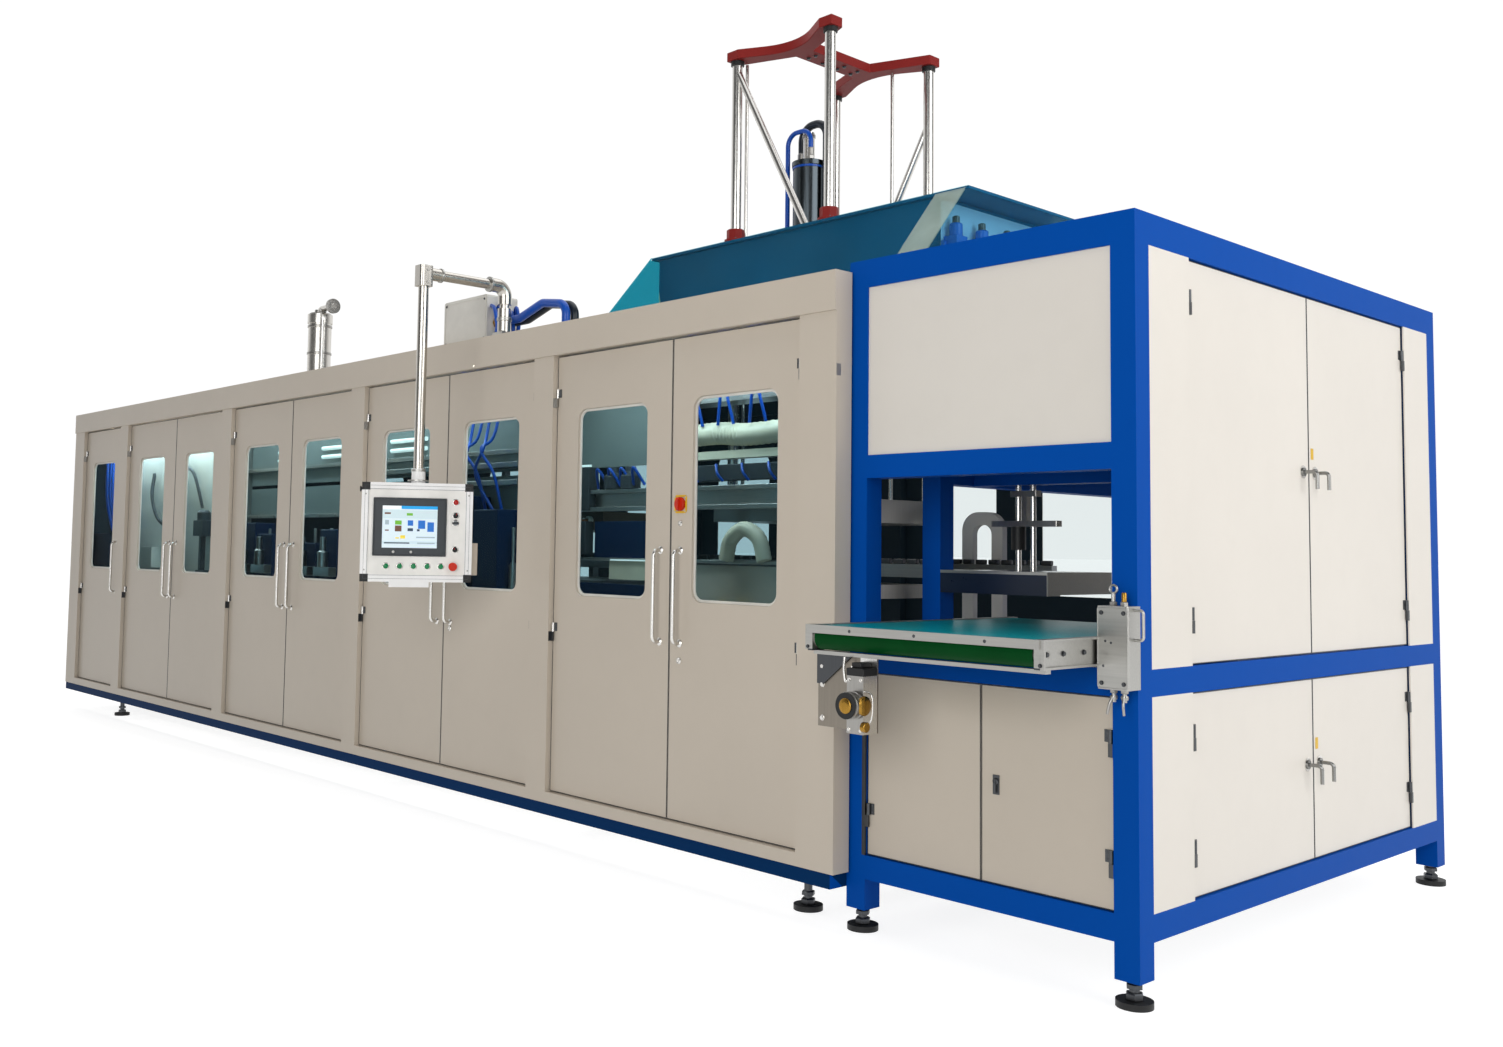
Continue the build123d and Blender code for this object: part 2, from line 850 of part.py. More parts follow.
save(
    [
        sloped_sheet(guard_front, guard_front - guard_flare, guard_sheet),
        sloped_sheet(guard_rear, guard_rear + guard_flare, -guard_sheet),
        end_sheet(guard_left),
        end_sheet(guard_right - guard_sheet),
    ],
    "press_guard",
)

bushes = []
for place in rod_places:
    with BuildPart() as bush:
        with BuildSketch(Plane.XY.offset(guard_top)):
            with Locations(place):
                Circle(bush_flange_radius)
                Circle(rod_radius + rod_clearance, mode=Mode.SUBTRACT)
        extrude(amount=bush_flange_height)
        with BuildSketch(Plane.XY.offset(guard_top + bush_flange_height)):
            with Locations(place):
                RegularPolygon(bush_radius, 8)
                Circle(rod_radius + rod_clearance, mode=Mode.SUBTRACT)
        extrude(amount=bush_height - bush_flange_height)
    bushes.append(bush.part)
save(bushes, "guide_bushes")

# Moving tower: guide rods, slim rods and diagonal braces under a four-armed tie plate
platen_top = platen_bottom + platen_thickness
rods = [round_bar((x, y, platen_top), (x, y, tie_bottom), rod_radius) for x, y in rod_places]
for x, y in slim_places:
    rods.append(round_bar((x, y, platen_top), (x, y, tie_bottom), slim_rod_radius))


def brace(y, left_z, right_z):
    """Diagonal tube between the two rods of one side, with its ends cut to the rods."""
    with BuildPart() as tube:
        run = Vector(2 * rod_half_x, 0, right_z - left_z)
        with BuildSketch(Plane(origin=(press_x - rod_half_x, y, left_z), z_dir=run)):
            Circle(brace_radius)
        extrude(amount=run.length)
        for x in (press_x - rod_half_x, press_x + rod_half_x):
            with BuildSketch(Plane.XY.offset(platen_top)):
                with Locations((x, y)):
                    Circle(rod_radius)
            extrude(amount=tie_bottom - platen_top, mode=Mode.SUBTRACT)
    return tube.part


rods += [brace(*place) for place in braces]
save(rods, "guide_rods")

tie_x = rod_half_x + tie_pad
tie_y = rod_half_y + tie_pad
arm = 2 * tie_pad
quarter = [
    (0, tie_waist_y),
    (tie_x - arm, tie_y),
    (tie_x, tie_y),
    (tie_x, tie_y - arm),
    (tie_waist_x, tie_web_end),
]
below = [(x, -y) for x, y in reversed(quarter)]
right_side = quarter + below
left_side = [(-x, y) for x, y in reversed(right_side[1:-1])]
with BuildPart() as tie:
    with BuildSketch(Plane.XY.offset(tie_bottom)):
        with Locations((press_x, press_y)):
            plate = Polygon(*right_side, *left_side, align=None)
        corners = plate.vertices()
        fillet(corners.filter_by(lambda v: abs(v.X - press_x) < tie_corner), tie_edge_bend)
        fillet(corners.filter_by(lambda v: abs(abs(v.X - press_x) - tie_waist_x) < tie_corner), tie_web_bend)
        fillet(corners.filter_by(lambda v: abs(abs(v.X - press_x) - tie_x) < tie_corner), tie_corner)
    extrude(amount=tie_thickness)
save([tie.part], "tie_plate")

platen_x = (press_x - rod_half_x - platen_margin, press_x + rod_half_x + platen_margin)
platen_y = (press_y - rod_half_y - platen_margin, press_y + rod_half_y + platen_margin)
save([block(platen_x, platen_y, (platen_bottom, platen_top))], "upper_platen")

# Drive cylinder on the guide plate: turned body, cap ring and chromed rod
drive_x = press_x + cylinder_from_centre
with BuildPart() as cylinder:
    with BuildSketch(Plane.XZ.offset(-press_y)):
        with BuildLine():
            body_top = guard_top + cylinder_height
            cap_top = body_top + cylinder_cap_height
            Polyline(
                (drive_x, guard_top),
                (drive_x + cylinder_radius, guard_top),
                (drive_x + cylinder_radius, body_top),
                (drive_x + cylinder_cap_radius, body_top),
                (drive_x + cylinder_cap_radius, cap_top),
                (drive_x + cylinder_rod_radius, cap_top),
                (drive_x + cylinder_rod_radius, cap_top + cylinder_rod_height),
                (drive_x, cap_top + cylinder_rod_height),
                close=True,
            )
        make_face()
    revolve(axis=Axis((drive_x, press_y, guard_top), (0, 0, 1)))
save([cylinder.part], "drive_cylinder")

# Lower mould table on a ram that slides in the press bed
with BuildPart() as table:
    with Locations((press_x, press_y, table_top - table_thickness / 2)):
        Box(2 * table_half_x, 2 * table_half_y, table_thickness)
    with BuildSketch(Plane.XY.offset(ram_bottom)):
        with Locations((press_x, press_y)):
            Circle(ram_radius)
    extrude(amount=table_top - table_thickness - ram_bottom)
save([table.part], "mould_table")

# Sheet line inside the cabinet: press bed, chain rails on legs, and two heaters
bed_z = (bed_top - bed_thickness, bed_top)
with BuildPart() as bed:
    with BuildSketch(Plane.XY.offset(bed_z[0])):
        with Locations((press_x, press_y)):
            Rectangle(2 * bed_half_x, 2 * inner_rail_from_centre + inner_rail_width)
            Circle(ram_radius + rod_clearance, mode=Mode.SUBTRACT)
    extrude(amount=bed_thickness)
works = [bed.part]
rail_x = (cabinet_left + left_stile, cabinet_right - right_stile)
for rail in inner_rails:
    middle = sum(rail) / 2
    for bed_x in (press_x - bed_half_x, press_x + bed_half_x - bed_leg):
        works.append(block(pair(bed_x, bed_leg), rail, (plinth_top, bed_z[0])))
    chain_y = (middle - chain_rail_width / 2, middle + chain_rail_width / 2)
    works.append(block(rail_x, chain_y, (chain_rail_top - chain_rail_height, chain_rail_top)))
    for rear_post in rear_posts[1:-1]:
        leg_x = pair(sum(rear_post) / 2 - rail_leg / 2, rail_leg)
        works.append(block(leg_x, chain_y, (plinth_top, chain_rail_top - chain_rail_height)))
heater_x = pair(cabinet_left + heater_from_left, heater_length)
heater_y = (press_y - heater_half_y, press_y + heater_half_y)
works.append(block(heater_x, heater_y, pair(heater_high_bottom, heater_height)))
works.append(block(heater_x, heater_y, pair(heater_low_bottom, heater_height)))
hanger_top = roof_z[0] - cross_rail
carrier_y = (
    press_y - inner_rail_from_centre + chain_rail_width / 2,
    press_y + inner_rail_from_centre - chain_rail_width / 2,
)
for rear_post in rear_posts[2:4]:
    hanger_x = pair(sum(rear_post) / 2 - heater_hanger / 2, heater_hanger)
    for y in (heater_y[0], heater_y[1] - heater_hanger):
        hanger_z = (heater_high_bottom + heater_height, hanger_top)
        works.append(block(hanger_x, pair(y, heater_hanger), hanger_z))
    works.append(block(hanger_x, carrier_y, pair(heater_low_bottom, -heater_hanger)))
with BuildPart() as arch:
    with BuildSketch(Plane.XZ.offset(-chain_y[1])):
        arch_x = station_left - arch_from_right - arch_width / 2
        arch_middle = (plinth_top + arch_top) / 2
        with Locations((arch_x, arch_middle)):
            shoulder = Rectangle(arch_width, arch_top - plinth_top)
            fillet(shoulder.vertices().sort_by(Axis.Y)[-2:], arch_corner)
        with Locations((arch_x, arch_middle - arch_leg)):
            RectangleRounded(
                arch_width - 2 * arch_leg,
                arch_top - plinth_top,
                (arch_width - 2 * arch_leg) / 2 - panel_recess,
                mode=Mode.SUBTRACT,
            )
    extrude(amount=-arch_thickness)
works.append(arch.part)
save(works, "sheet_line")

# Control arm: flanged base on the fascia, hanging pipe with two elbows, and the turned panel
boom_x = station_left - boom_x_from_right
boom_base_y = fascia_front + boom_base_set_in
boom_y = station_front - boom_stand
base_top = cabinet_top + base_stub_height
with BuildPart() as boom_base:
    with Locations((boom_x, boom_base_y, cabinet_top + base_flange_thickness / 2)):
        Box(base_flange, base_flange, base_flange_thickness)
    with BuildSketch(Plane.XY.offset(cabinet_top + base_flange_thickness)):
        with Locations((boom_x, boom_base_y)):
            Circle(elbow_radius)
    extrude(amount=base_stub_height - base_flange_thickness)
save([boom_base.part], "boom_base")

panel_top = panel_bottom + panel_height
neck_top = panel_top + neck_plate + neck_height
with BuildPart() as boom:
    with BuildLine() as route:
        FilletPolyline(
            (boom_x, boom_base_y, base_top + running_gap),
            (boom_x, boom_base_y, boom_height),
            (boom_x, boom_y, boom_height),
            radius=elbow_bend,
        )
    with BuildSketch(Plane(origin=route.line @ 0, z_dir=route.line % 0)):
        Circle(pipe_radius)
    sweep()
    with BuildLine() as elbow:
        FilletPolyline(
            (boom_x, boom_base_y, boom_height - elbow_arm),
            (boom_x, boom_base_y, boom_height),
            (boom_x, boom_base_y - elbow_arm, boom_height),
            radius=elbow_bend,
        )
    with BuildSketch(Plane(origin=elbow.line @ 0, z_dir=elbow.line % 0)):
        Circle(elbow_radius)
    sweep(path=elbow.line)
    with BuildSketch(Plane.XY.offset(neck_top + running_gap)):
        with Locations((boom_x, boom_y)):
            Circle(pipe_radius)
    extrude(amount=boom_height - neck_top - running_gap)
    with BuildSketch(Plane.XY.offset(boom_height + elbow_radius - elbow_length)):
        with Locations((boom_x, boom_y)):
            RectangleRounded(sleeve_size, sleeve_size, sleeve_corner)
    extrude(amount=elbow_length)
    with BuildSketch(Plane.XZ.offset(-boom_y)):
        with Locations((boom_x, boom_height)):
            Circle(elbow_radius - sleeve_corner / 4)
    extrude(amount=-elbow_length)
    with BuildSketch(Plane.XY.offset(base_top + running_gap)):
        with Locations((boom_x, boom_base_y)):
            Circle(elbow_radius)
    extrude(amount=boom_sleeve_length)
save([boom.part], "boom")

# Panel plane: origin at the lower left corner of the housing's front, turned towards the walkway
across = Vector(cos(turn), sin(turn), 0)
outward = Vector(sin(turn), -cos(turn), 0)
panel_corner = Vector(boom_x, boom_y, panel_bottom) - across * (panel_width / 2) + outward * panel_front
panel = Plane(origin=panel_corner, x_dir=across, z_dir=outward)
with BuildPart() as housing:
    with BuildSketch(panel):
        with Locations((panel_width / 2, panel_height / 2)):
            Rectangle(panel_width, panel_height)
    extrude(amount=-panel_front - panel_back)
    with BuildSketch(panel):
        with Locations((panel_width / 2, panel_height / 2)):
            RectangleRounded(panel_width, panel_height, panel_frame / 2)
            Rectangle(panel_width - 2 * panel_frame, panel_height - 2 * panel_frame, mode=Mode.SUBTRACT)
    extrude(amount=panel_frame_proud)
    with BuildSketch(panel):
        with Locations((bezel_left + bezel_width / 2, bezel_low + bezel_height / 2)):
            RectangleRounded(bezel_width, bezel_height, bezel_proud)
    extrude(amount=bezel_proud)
    with BuildSketch(Plane.XY.offset(panel_top)):
        with Locations((boom_x, boom_y)):
            Circle(neck_radius)
    extrude(amount=neck_top - panel_top)
    with BuildSketch(panel):
        with Locations((stop_from_left, button_row)):
            Circle(stop_stem_radius + shaft_clearance)
    extrude(amount=-stop_bore, mode=Mode.SUBTRACT)
    with BuildSketch(panel):
        with Locations((tray_left + tray_width / 2, -tray_drop / 2)):
            Rectangle(tray_width, tray_drop)
    extrude(amount=-panel_front)
save([housing.part], "control_housing")

screen_place = (bezel_left + bezel_width / 2, bezel_low + bezel_height / 2)
with BuildPart() as screen:
    with BuildSketch(panel.offset(bezel_proud)):
        with Locations(screen_place):
            Rectangle(screen_width, screen_height)
    extrude(amount=screen_thickness)
save([screen.part], "control_screen")

buttons = []
button_places = [
    (panel_width * (button_start_share + place * button_pitch_share), button_row) for place in range(5)
]
button_places += [(lamp_column, panel_height * share) for share in lamp_rows_share]
for place in button_places:
    with BuildPart() as button:
        with BuildSketch(panel):
            with Locations(place):
                Circle(button_radius)
        extrude(amount=button_proud)
    buttons.append(button.part)
save(buttons, "push_buttons")

with BuildPart() as stop:
    with BuildSketch(panel.offset(-stop_stem_depth)):
        with Locations((stop_from_left, button_row)):
            Circle(stop_stem_radius)
    extrude(amount=stop_stem_depth + stop_stem)
    with BuildSketch(panel.offset(stop_stem)):
        with Locations((stop_from_left, button_row)):
            Circle(stop_radius)
    extrude(amount=stop_proud - stop_stem)
save([stop.part], "emergency_stop")

# Outfeed conveyor: side profiles, saddles, nose bar, belt loop and two rollers
belt_x = (station_left + post_size + conveyor_left_gap, station_right - post_size - conveyor_right_gap)
conveyor_y = (station_front - conveyor_reach, station_front + conveyor_inside)
profile_z = pair(side_profile_bottom, side_profile_height)
left_profile = pair(belt_x[0], side_profile_width)
right_profile = (belt_x[1] - side_profile_width, belt_x[1])
nose_y = conveyor_y[0] + nose_set_in
tail_y = conveyor_y[1] - nose_set_in
axle_z = profile_z[1] - belt_drop - belt_outer_radius
roller_radius = belt_outer_radius - belt_thickness - roller_clearance


def side_profile(x):
    """Conveyor side with a bored seat for each roller shaft."""
    with BuildPart() as profile:
        with Locations((sum(x) / 2, sum(conveyor_y) / 2, sum(profile_z) / 2)):
            Box(x[1] - x[0], conveyor_y[1] - conveyor_y[0], side_profile_height)
        with BuildSketch(Plane.YZ.offset(x[0])):
            with Locations((nose_y, axle_z), (tail_y, axle_z)):
                Circle(shaft_radius + shaft_clearance)
        extrude(amount=x[1] - x[0], mode=Mode.SUBTRACT)
    return profile.part


belt_side = (left_profile[1] + belt_side_gap, right_profile[0] - belt_side_gap)
saddle_z = (mid_beam[1], side_profile_bottom)
conveyor = [side_profile(left_profile), side_profile(right_profile)]
for y in (station_front, inner_beam_y[0]):
    conveyor.append(block(belt_x, pair(y, saddle_width), saddle_z))
conveyor.append(
    block(
        belt_x,
        pair(conveyor_y[0] - nose_bar_thickness, nose_bar_thickness),
        (profile_z[1] - nose_bar_height, profile_z[1]),
    )
)
bed_plate = (axle_z + roller_radius - side_profile_width, axle_z + roller_radius - roller_clearance)
conveyor.append(
    block(
        (left_profile[1], right_profile[0]),
        (nose_y + belt_outer_radius, tail_y - belt_outer_radius),
        bed_plate,
    )
)
with BuildPart() as knob:
    with BuildSketch(Plane.YZ.offset(belt_x[0])):
        with Locations((nose_y, axle_z)):
            Circle(knob_radius)
    extrude(amount=-knob_length)
conveyor.append(knob.part)
save(conveyor, "conveyor_frame")

with BuildPart() as belt:
    with BuildSketch(Plane.YZ.offset(belt_side[0])):
        with Locations(((nose_y + tail_y) / 2, axle_z)):
            SlotCenterToCenter(tail_y - nose_y, 2 * belt_outer_radius)
            SlotCenterToCenter(tail_y - nose_y, 2 * (belt_outer_radius - belt_thickness), mode=Mode.SUBTRACT)
    extrude(amount=belt_side[1] - belt_side[0])
save([belt.part], "conveyor_belt")

for name, y in (("front_roller", nose_y), ("rear_roller", tail_y)):
    with BuildPart() as roller:
        with BuildSketch(Plane.YZ.offset(left_profile[1] + roller_clearance)):
            with Locations((y, axle_z)):
                Circle(roller_radius)
        extrude(amount=right_profile[0] - left_profile[1] - 2 * roller_clearance)
        with BuildSketch(Plane.YZ.offset(left_profile[0] + roller_clearance)):
            with Locations((y, axle_z)):
                Circle(shaft_radius)
        extrude(amount=right_profile[1] - left_profile[0] - 2 * roller_clearance)
    save([roller.part], name)

# Gear motor on a plate that hangs from a bar under the conveyor's front end
motor_bar_z = pair(side_profile_bottom, -motor_bar)
motor_y = pair(nose_y - motor_plate_thickness / 2, motor_plate_thickness)
motor_plate_x = pair(belt_x[0] + motor_plate_left, motor_plate_width)
motor_plate_z = pair(motor_bar_z[0], -motor_plate_height)
motor_x = motor_plate_x[1] - motor_body / 2
motor_z = motor_plate_z[0] + motor_body_height / 2
with BuildPart() as motor:
    with Locations((motor_x, motor_y[0] - motor_body / 2, motor_z)):
        Box(motor_body, motor_body, motor_body_height)
    with BuildSketch(Plane.XZ.offset(motor_body - motor_y[0])):
        with Locations((motor_x, motor_z)):
            Circle(motor_wheel_radius)
    extrude(amount=motor_wheel_length)
gear_motor = [
    block(belt_x, (nose_y - motor_bar, nose_y + motor_bar), motor_bar_z),
    block(motor_plate_x, motor_y, motor_plate_z),
    motor.part,
]
save(gear_motor, "gear_motor")

# Service box on the near post, with small valves above and below
box_x = (station_right - box_left_of_face, station_right + box_right_of_face)
box_y = (station_front - box_depth, station_front)
box_z = pair(box_bottom, box_height)
with BuildPart() as service_box:
    with Locations((sum(box_x) / 2, sum(box_y) / 2, sum(box_z) / 2)):
        Box(box_x[1] - box_x[0], box_depth, box_height)
    fillet(service_box.edges().filter_by(Axis.Z), box_plate)
    for x in (box_x[0] + valve_inset, box_x[1] - valve_inset):
        for z, way in ((box_z[1], 1), (box_z[0], -1)):
            with BuildSketch(Plane(origin=(x, sum(box_y) / 2, z), z_dir=(0, 0, way))):
                Circle(valve_radius)
            extrude(amount=valve_length)
handle_z = (box_z[1] - box_handle_bend - box_handle_length, box_z[1] - box_handle_bend)
handle_y = sum(box_y) / 2
box_handle = bent_bar(
    [
        (box_x[1], handle_y, handle_z[0]),
        (box_x[1] + box_handle_out, handle_y, handle_z[0]),
        (box_x[1] + box_handle_out, handle_y, handle_z[1]),
        (box_x[1], handle_y, handle_z[1]),
    ],
    box_handle_radius,
    box_handle_bend,
)
save([service_box.part, box_handle], "service_box")

# Roof filter: turned canister with a cap, and a bent outlet pipe
filter_x = cabinet_left + filter_from_left
filter_y = station_front + filter_from_front
cap_z = cabinet_top + filter_height
filter_pieces = [
    round_bar((filter_x, filter_y, cabinet_top), (filter_x, filter_y, cap_z), filter_radius),
    round_bar(
        (filter_x, filter_y, cap_z),
        (filter_x, filter_y, cap_z + filter_cap_height),
        filter_cap_radius,
    ),
    bent_bar(
        [
            (filter_x, filter_y, cap_z + filter_cap_height),
            (filter_x, filter_y, cap_z + filter_cap_height + filter_pipe_rise),
            (filter_x + filter_pipe_reach, filter_y, cap_z + filter_cap_height + filter_pipe_rise),
        ],
        filter_pipe_radius,
        filter_pipe_radius * 1.2,
    ),
]
save(filter_pieces, "roof_filter")

# Cable box and hoses on the roof
cable_x = (boom_x - cable_box_gap - cable_box_length, boom_x - cable_box_gap)
cable_y = pair(fascia_front + fascia_depth, cable_box_depth)
with BuildPart() as cable_box:
    with Locations((sum(cable_x) / 2, sum(cable_y) / 2, cabinet_top + cable_box_height / 2)):
        Box(cable_box_length, cable_box_depth, cable_box_height)
    fillet(cable_box.edges().filter_by(Axis.Y), base_flange_thickness)
save([cable_box.part], "cable_box")

hoses = []
for place in range(2):
    hose_y = sum(cable_y) / 2 + (place - 1 / 2) * hose_spacing
    hose_z = cabinet_top + hose_height
    hoses.append(
        bent_bar(
            [
                (cable_x[1], hose_y, hose_z),
                (cable_x[1] + hose_reach / 3, hose_y, hose_z),
                (cable_x[1] + 2 * hose_reach / 3, hose_y, hose_z + hose_rise),
                (cable_x[1] + hose_reach, hose_y, hose_z + hose_rise / 2),
                (cable_x[1] + hose_reach, hose_y, cabinet_top),
            ],
            hose_radius,
            hose_radius * 3,
        )
    )
cap_face = guard_top + cylinder_height + cylinder_cap_height
loop_y = press_y + loop_behind
line_y = press_y - line_ahead
hoses.append(
    bent_bar(
        [
            (drive_x - loop_near, loop_y, cap_face),
            (drive_x - loop_near, loop_y, cap_face + loop_rise),
            (drive_x + loop_far, loop_y, cap_face + loop_rise),
            (drive_x + loop_far, loop_y, guard_top),
        ],
        loop_hose_radius,
        loop_bend,
    )
)
hoses.append(
    bent_bar(
        [
            (drive_x + line_near, line_y, cap_face),
            (drive_x + line_near, line_y, cap_face + line_rise),
            (drive_x - line_far, line_y, cap_face + line_rise),
            (drive_x - line_far, line_y, guard_top),
        ],
        line_hose_radius,
        line_bend,
    )
)
save(hoses, "roof_hoses")

# Stacker: plate on a bracket from the inner post, two rods up to the sill beam, and a clamp carriage
plate_x = pair(between_x[0], stacker_plate_length)
stack_plate_y = pair(inner_post_y[0], stacker_plate_depth)
plate_low = stacker_plate_top - stacker_plate_thickness
rod_y = sum(inner_beam_y) / 2
rod_one = between_x[0] + stacker_rod_from_left
rod_xs = (rod_one, rod_one + stacker_rod_spacing)
stacker = [
    block(plate_x, stack_plate_y, (plate_low, stacker_plate_top)),
    block(plate_x, inner_post_y, (plate_low - stacker_bracket_height, plate_low)),
    block(
        (plate_x[1] - manifold_length, plate_x[1]),
        (inner_post_y[1], stack_plate_y[1]),
        (plate_low - manifold_height, plate_low),
    ),
]
stacker += [
    round_bar((x, rod_y, stacker_plate_top), (x, rod_y, sill_beam[0]), stacker_rod_radius) for x in rod_xs
]
save(stacker, "stacker_rods")


def clamp_bar(low, length):
    """Clamp bar bored to slide on the two stacker rods."""
    middle = sum(rod_xs) / 2
    with BuildPart() as bar:
        with BuildSketch(Plane.XY.offset(low)):
            with Locations((middle, rod_y)):
                RectangleRounded(length, clamp_depth, clamp_depth / 4)
            with Locations((rod_xs[0], rod_y), (rod_xs[1], rod_y)):
                Circle(stacker_rod_radius + rod_clearance, mode=Mode.SUBTRACT)
        extrude(amount=clamp_height)
    return bar.part


carriage = [
    clamp_bar(clamp_high, clamp_short),
    clamp_bar(clamp_low, clamp_long),
    block(
        (sum(rod_xs) / 2 - stacker_rod_radius, sum(rod_xs) / 2 + stacker_rod_radius),
        (rod_y - stacker_rod_radius, rod_y + stacker_rod_radius),
        (clamp_low + clamp_height, clamp_high),
    ),
]
with BuildPart() as gripper:
    with BuildSketch(Plane.XY.offset(clamp_low - gripper_height)):
        with Locations((rod_xs[0], rod_y)):
            Circle(gripper_radius)
            Circle(stacker_rod_radius + rod_clearance, mode=Mode.SUBTRACT)
    extrude(amount=gripper_height)
carriage.append(gripper.part)
save(carriage, "stacker_carriage")
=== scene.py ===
"""Looks of the vacuum forming machine: finishes, fittings, studio light and the photograph's camera."""
import json
import math

import bmesh
import bpy
from mathutils import Matrix, Vector


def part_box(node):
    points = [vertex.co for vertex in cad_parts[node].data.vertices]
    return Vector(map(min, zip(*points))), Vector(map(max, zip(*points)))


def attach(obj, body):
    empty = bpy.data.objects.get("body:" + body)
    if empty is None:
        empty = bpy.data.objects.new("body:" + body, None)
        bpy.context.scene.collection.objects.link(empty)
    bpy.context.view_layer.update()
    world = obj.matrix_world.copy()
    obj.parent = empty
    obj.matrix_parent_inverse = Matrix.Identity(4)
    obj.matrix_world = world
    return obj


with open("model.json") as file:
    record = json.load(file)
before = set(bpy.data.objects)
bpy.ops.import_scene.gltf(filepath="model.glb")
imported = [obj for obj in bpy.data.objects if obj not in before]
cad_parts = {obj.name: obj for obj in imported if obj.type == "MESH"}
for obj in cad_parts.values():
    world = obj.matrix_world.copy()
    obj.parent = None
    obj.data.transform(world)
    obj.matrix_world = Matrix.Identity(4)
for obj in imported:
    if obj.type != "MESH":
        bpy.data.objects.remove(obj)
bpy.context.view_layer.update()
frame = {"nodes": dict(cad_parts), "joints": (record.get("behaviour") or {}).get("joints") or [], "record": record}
NODES = frame["nodes"]
LOW = {name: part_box(name)[0] for name in NODES}
HIGH = {name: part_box(name)[1] for name in NODES}
JOINTS = {joint["name"]: joint for joint in frame["joints"]}

# Places taken from the CAD nodes, in metres
X, Y, Z = Vector((1, 0, 0)), Vector((0, 1, 0)), Vector((0, 0, 1))
WINDOW_COLLAR = 0.018
DOOR_Y = LOW["window_1"].y - WINDOW_COLLAR
FRONT_Y = HIGH["service_box"].y
RIGHT_X = HIGH["cover_panels"].x
ROOF_Z = HIGH["cabinet_frame"].z
GUARD_TOP = HIGH["press_guard"].z
PRESS_X = (LOW["tie_plate"].x + HIGH["tie_plate"].x) / 2
PRESS_Y = (LOW["tie_plate"].y + HIGH["tie_plate"].y) / 2
SIDE_DOOR_X = RIGHT_X - 0.012
FRONT_DOOR_Y = FRONT_Y + 0.012
UNDER_ROOF = ROOF_Z - 0.003
HINGE_ROWS = (HIGH["door_1"].z - 0.206, 1.042)
CYLINDER_CAP = HIGH["drive_cylinder"].z - 0.165
GUARD_WALL_X = HIGH["press_guard"].x - 0.17
MOTOR_LEFT = LOW["gear_motor"].x + 0.015
MOTOR_X = MOTOR_LEFT + 0.272 - 0.037
MOTOR_FACE_Y = LOW["gear_motor"].y + 0.05
EDGE = 0.0006
# Width of the dark strips painted as the shadow gap round each door
SHADOW_GAP_WIDTH = 0.003
DOORS = [f"door_{number}" for number in range(1, 10)]
FRONT_DOORS = ["station_front_door_left", "station_front_door_right"]
SIDE_DOORS = [f"station_door_{row}_{side}" for row in ("upper", "lower") for side in ("near", "far")]
LEVERS = [f"lever_{row}_{side}" for row in ("upper", "lower") for side in ("near", "far")]

# Control panel: lower left corner of its face, and the directions across and out of it
PANEL_TURN = math.radians(58.7)
PANEL_SIZE = (0.54, 0.487)
PANEL_FRONT = 0.04
BUTTON_ROWS = [PANEL_SIZE[1] * share for share in (0.81, 0.675, 0.6, 0.33)]
ACROSS = Vector((math.cos(PANEL_TURN), math.sin(PANEL_TURN), 0))
OUTWARD = Vector((math.sin(PANEL_TURN), -math.cos(PANEL_TURN), 0))
PIVOT = Vector(JOINTS["panel_swivel"]["pos_m"])
PANEL_CORNER = PIVOT - Z * PANEL_SIZE[1] - ACROSS * PANEL_SIZE[0] / 2 + OUTWARD * PANEL_FRONT


# Node-tree helpers

def add_node(tree, kind, inputs=None, **settings):
    """Node of a kind with its settings, and inputs that are values or come from other nodes' outputs."""
    node = tree.nodes.new(kind)
    for key, value in settings.items():
        setattr(node, key, value)
    for key, value in (inputs or {}).items():
        if isinstance(value, bpy.types.NodeSocket):
            tree.links.new(value, node.inputs[key])
        else:
            node.inputs[key].default_value = value
    return node


def principled(tree, inputs):
    """Output of a principled shader."""
    return add_node(tree, "ShaderNodeBsdfPrincipled", inputs).outputs["BSDF"]


def mix_shaders(tree, factor, under, over):
    """One shader laid over another by a factor."""
    return add_node(tree, "ShaderNodeMixShader", {"Fac": factor, 1: under, 2: over}).outputs["Shader"]


def combine(tree, operation, first, second):
    """Result of a math operation on two values."""
    return add_node(tree, "ShaderNodeMath", {0: first, 1: second}, operation=operation).outputs["Value"]


def along(tree, space, direction):
    """Distance of a place along a direction, in one of the coordinate spaces."""
    place = add_node(tree, "ShaderNodeTexCoord").outputs[space]
    inputs = {0: place, 1: direction}
    return add_node(tree, "ShaderNodeVectorMath", inputs, operation="DOT_PRODUCT").outputs["Value"]


def linear(code, factor=1.0):
    """Linear colour of an sRGB hex code, made lighter or darker."""
    channels = [int(code[i:i + 2], 16) / 255 for i in (1, 3, 5)]
    channels = [((c + 0.055) / 1.055) ** 2.4 if c > 0.04045 else c / 12.92 for c in channels]
    return [min(1.0, c * factor) for c in channels] + [1.0]


def noise(tree, scale, detail=3.0, stretch=(1, 1, 1)):
    """Noise in the part's own frame, stretched along its axes."""
    place = add_node(tree, "ShaderNodeTexCoord").outputs["Object"]
    mapping = add_node(tree, "ShaderNodeMapping", {"Vector": place, "Scale": stretch})
    inputs = {"Vector": mapping.outputs["Vector"], "Scale": scale, "Detail": detail, "Roughness": 0.55}
    return add_node(tree, "ShaderNodeTexNoise", inputs).outputs["Fac"]


def ramp(tree, factor, low, high, start=0.3, end=0.7):
    """Two-colour ramp over a factor."""
    node = add_node(tree, "ShaderNodeValToRGB", {"Fac": factor})
    first, last = node.color_ramp.elements
    first.position, last.position = start, end
    first.color, last.color = low, high
    return node.outputs["Color"]


def shades(tree, factor, code, low, high):
    """Darker to lighter shades of a colour over a factor."""
    return ramp(tree, factor, linear(code, low), linear(code, high))


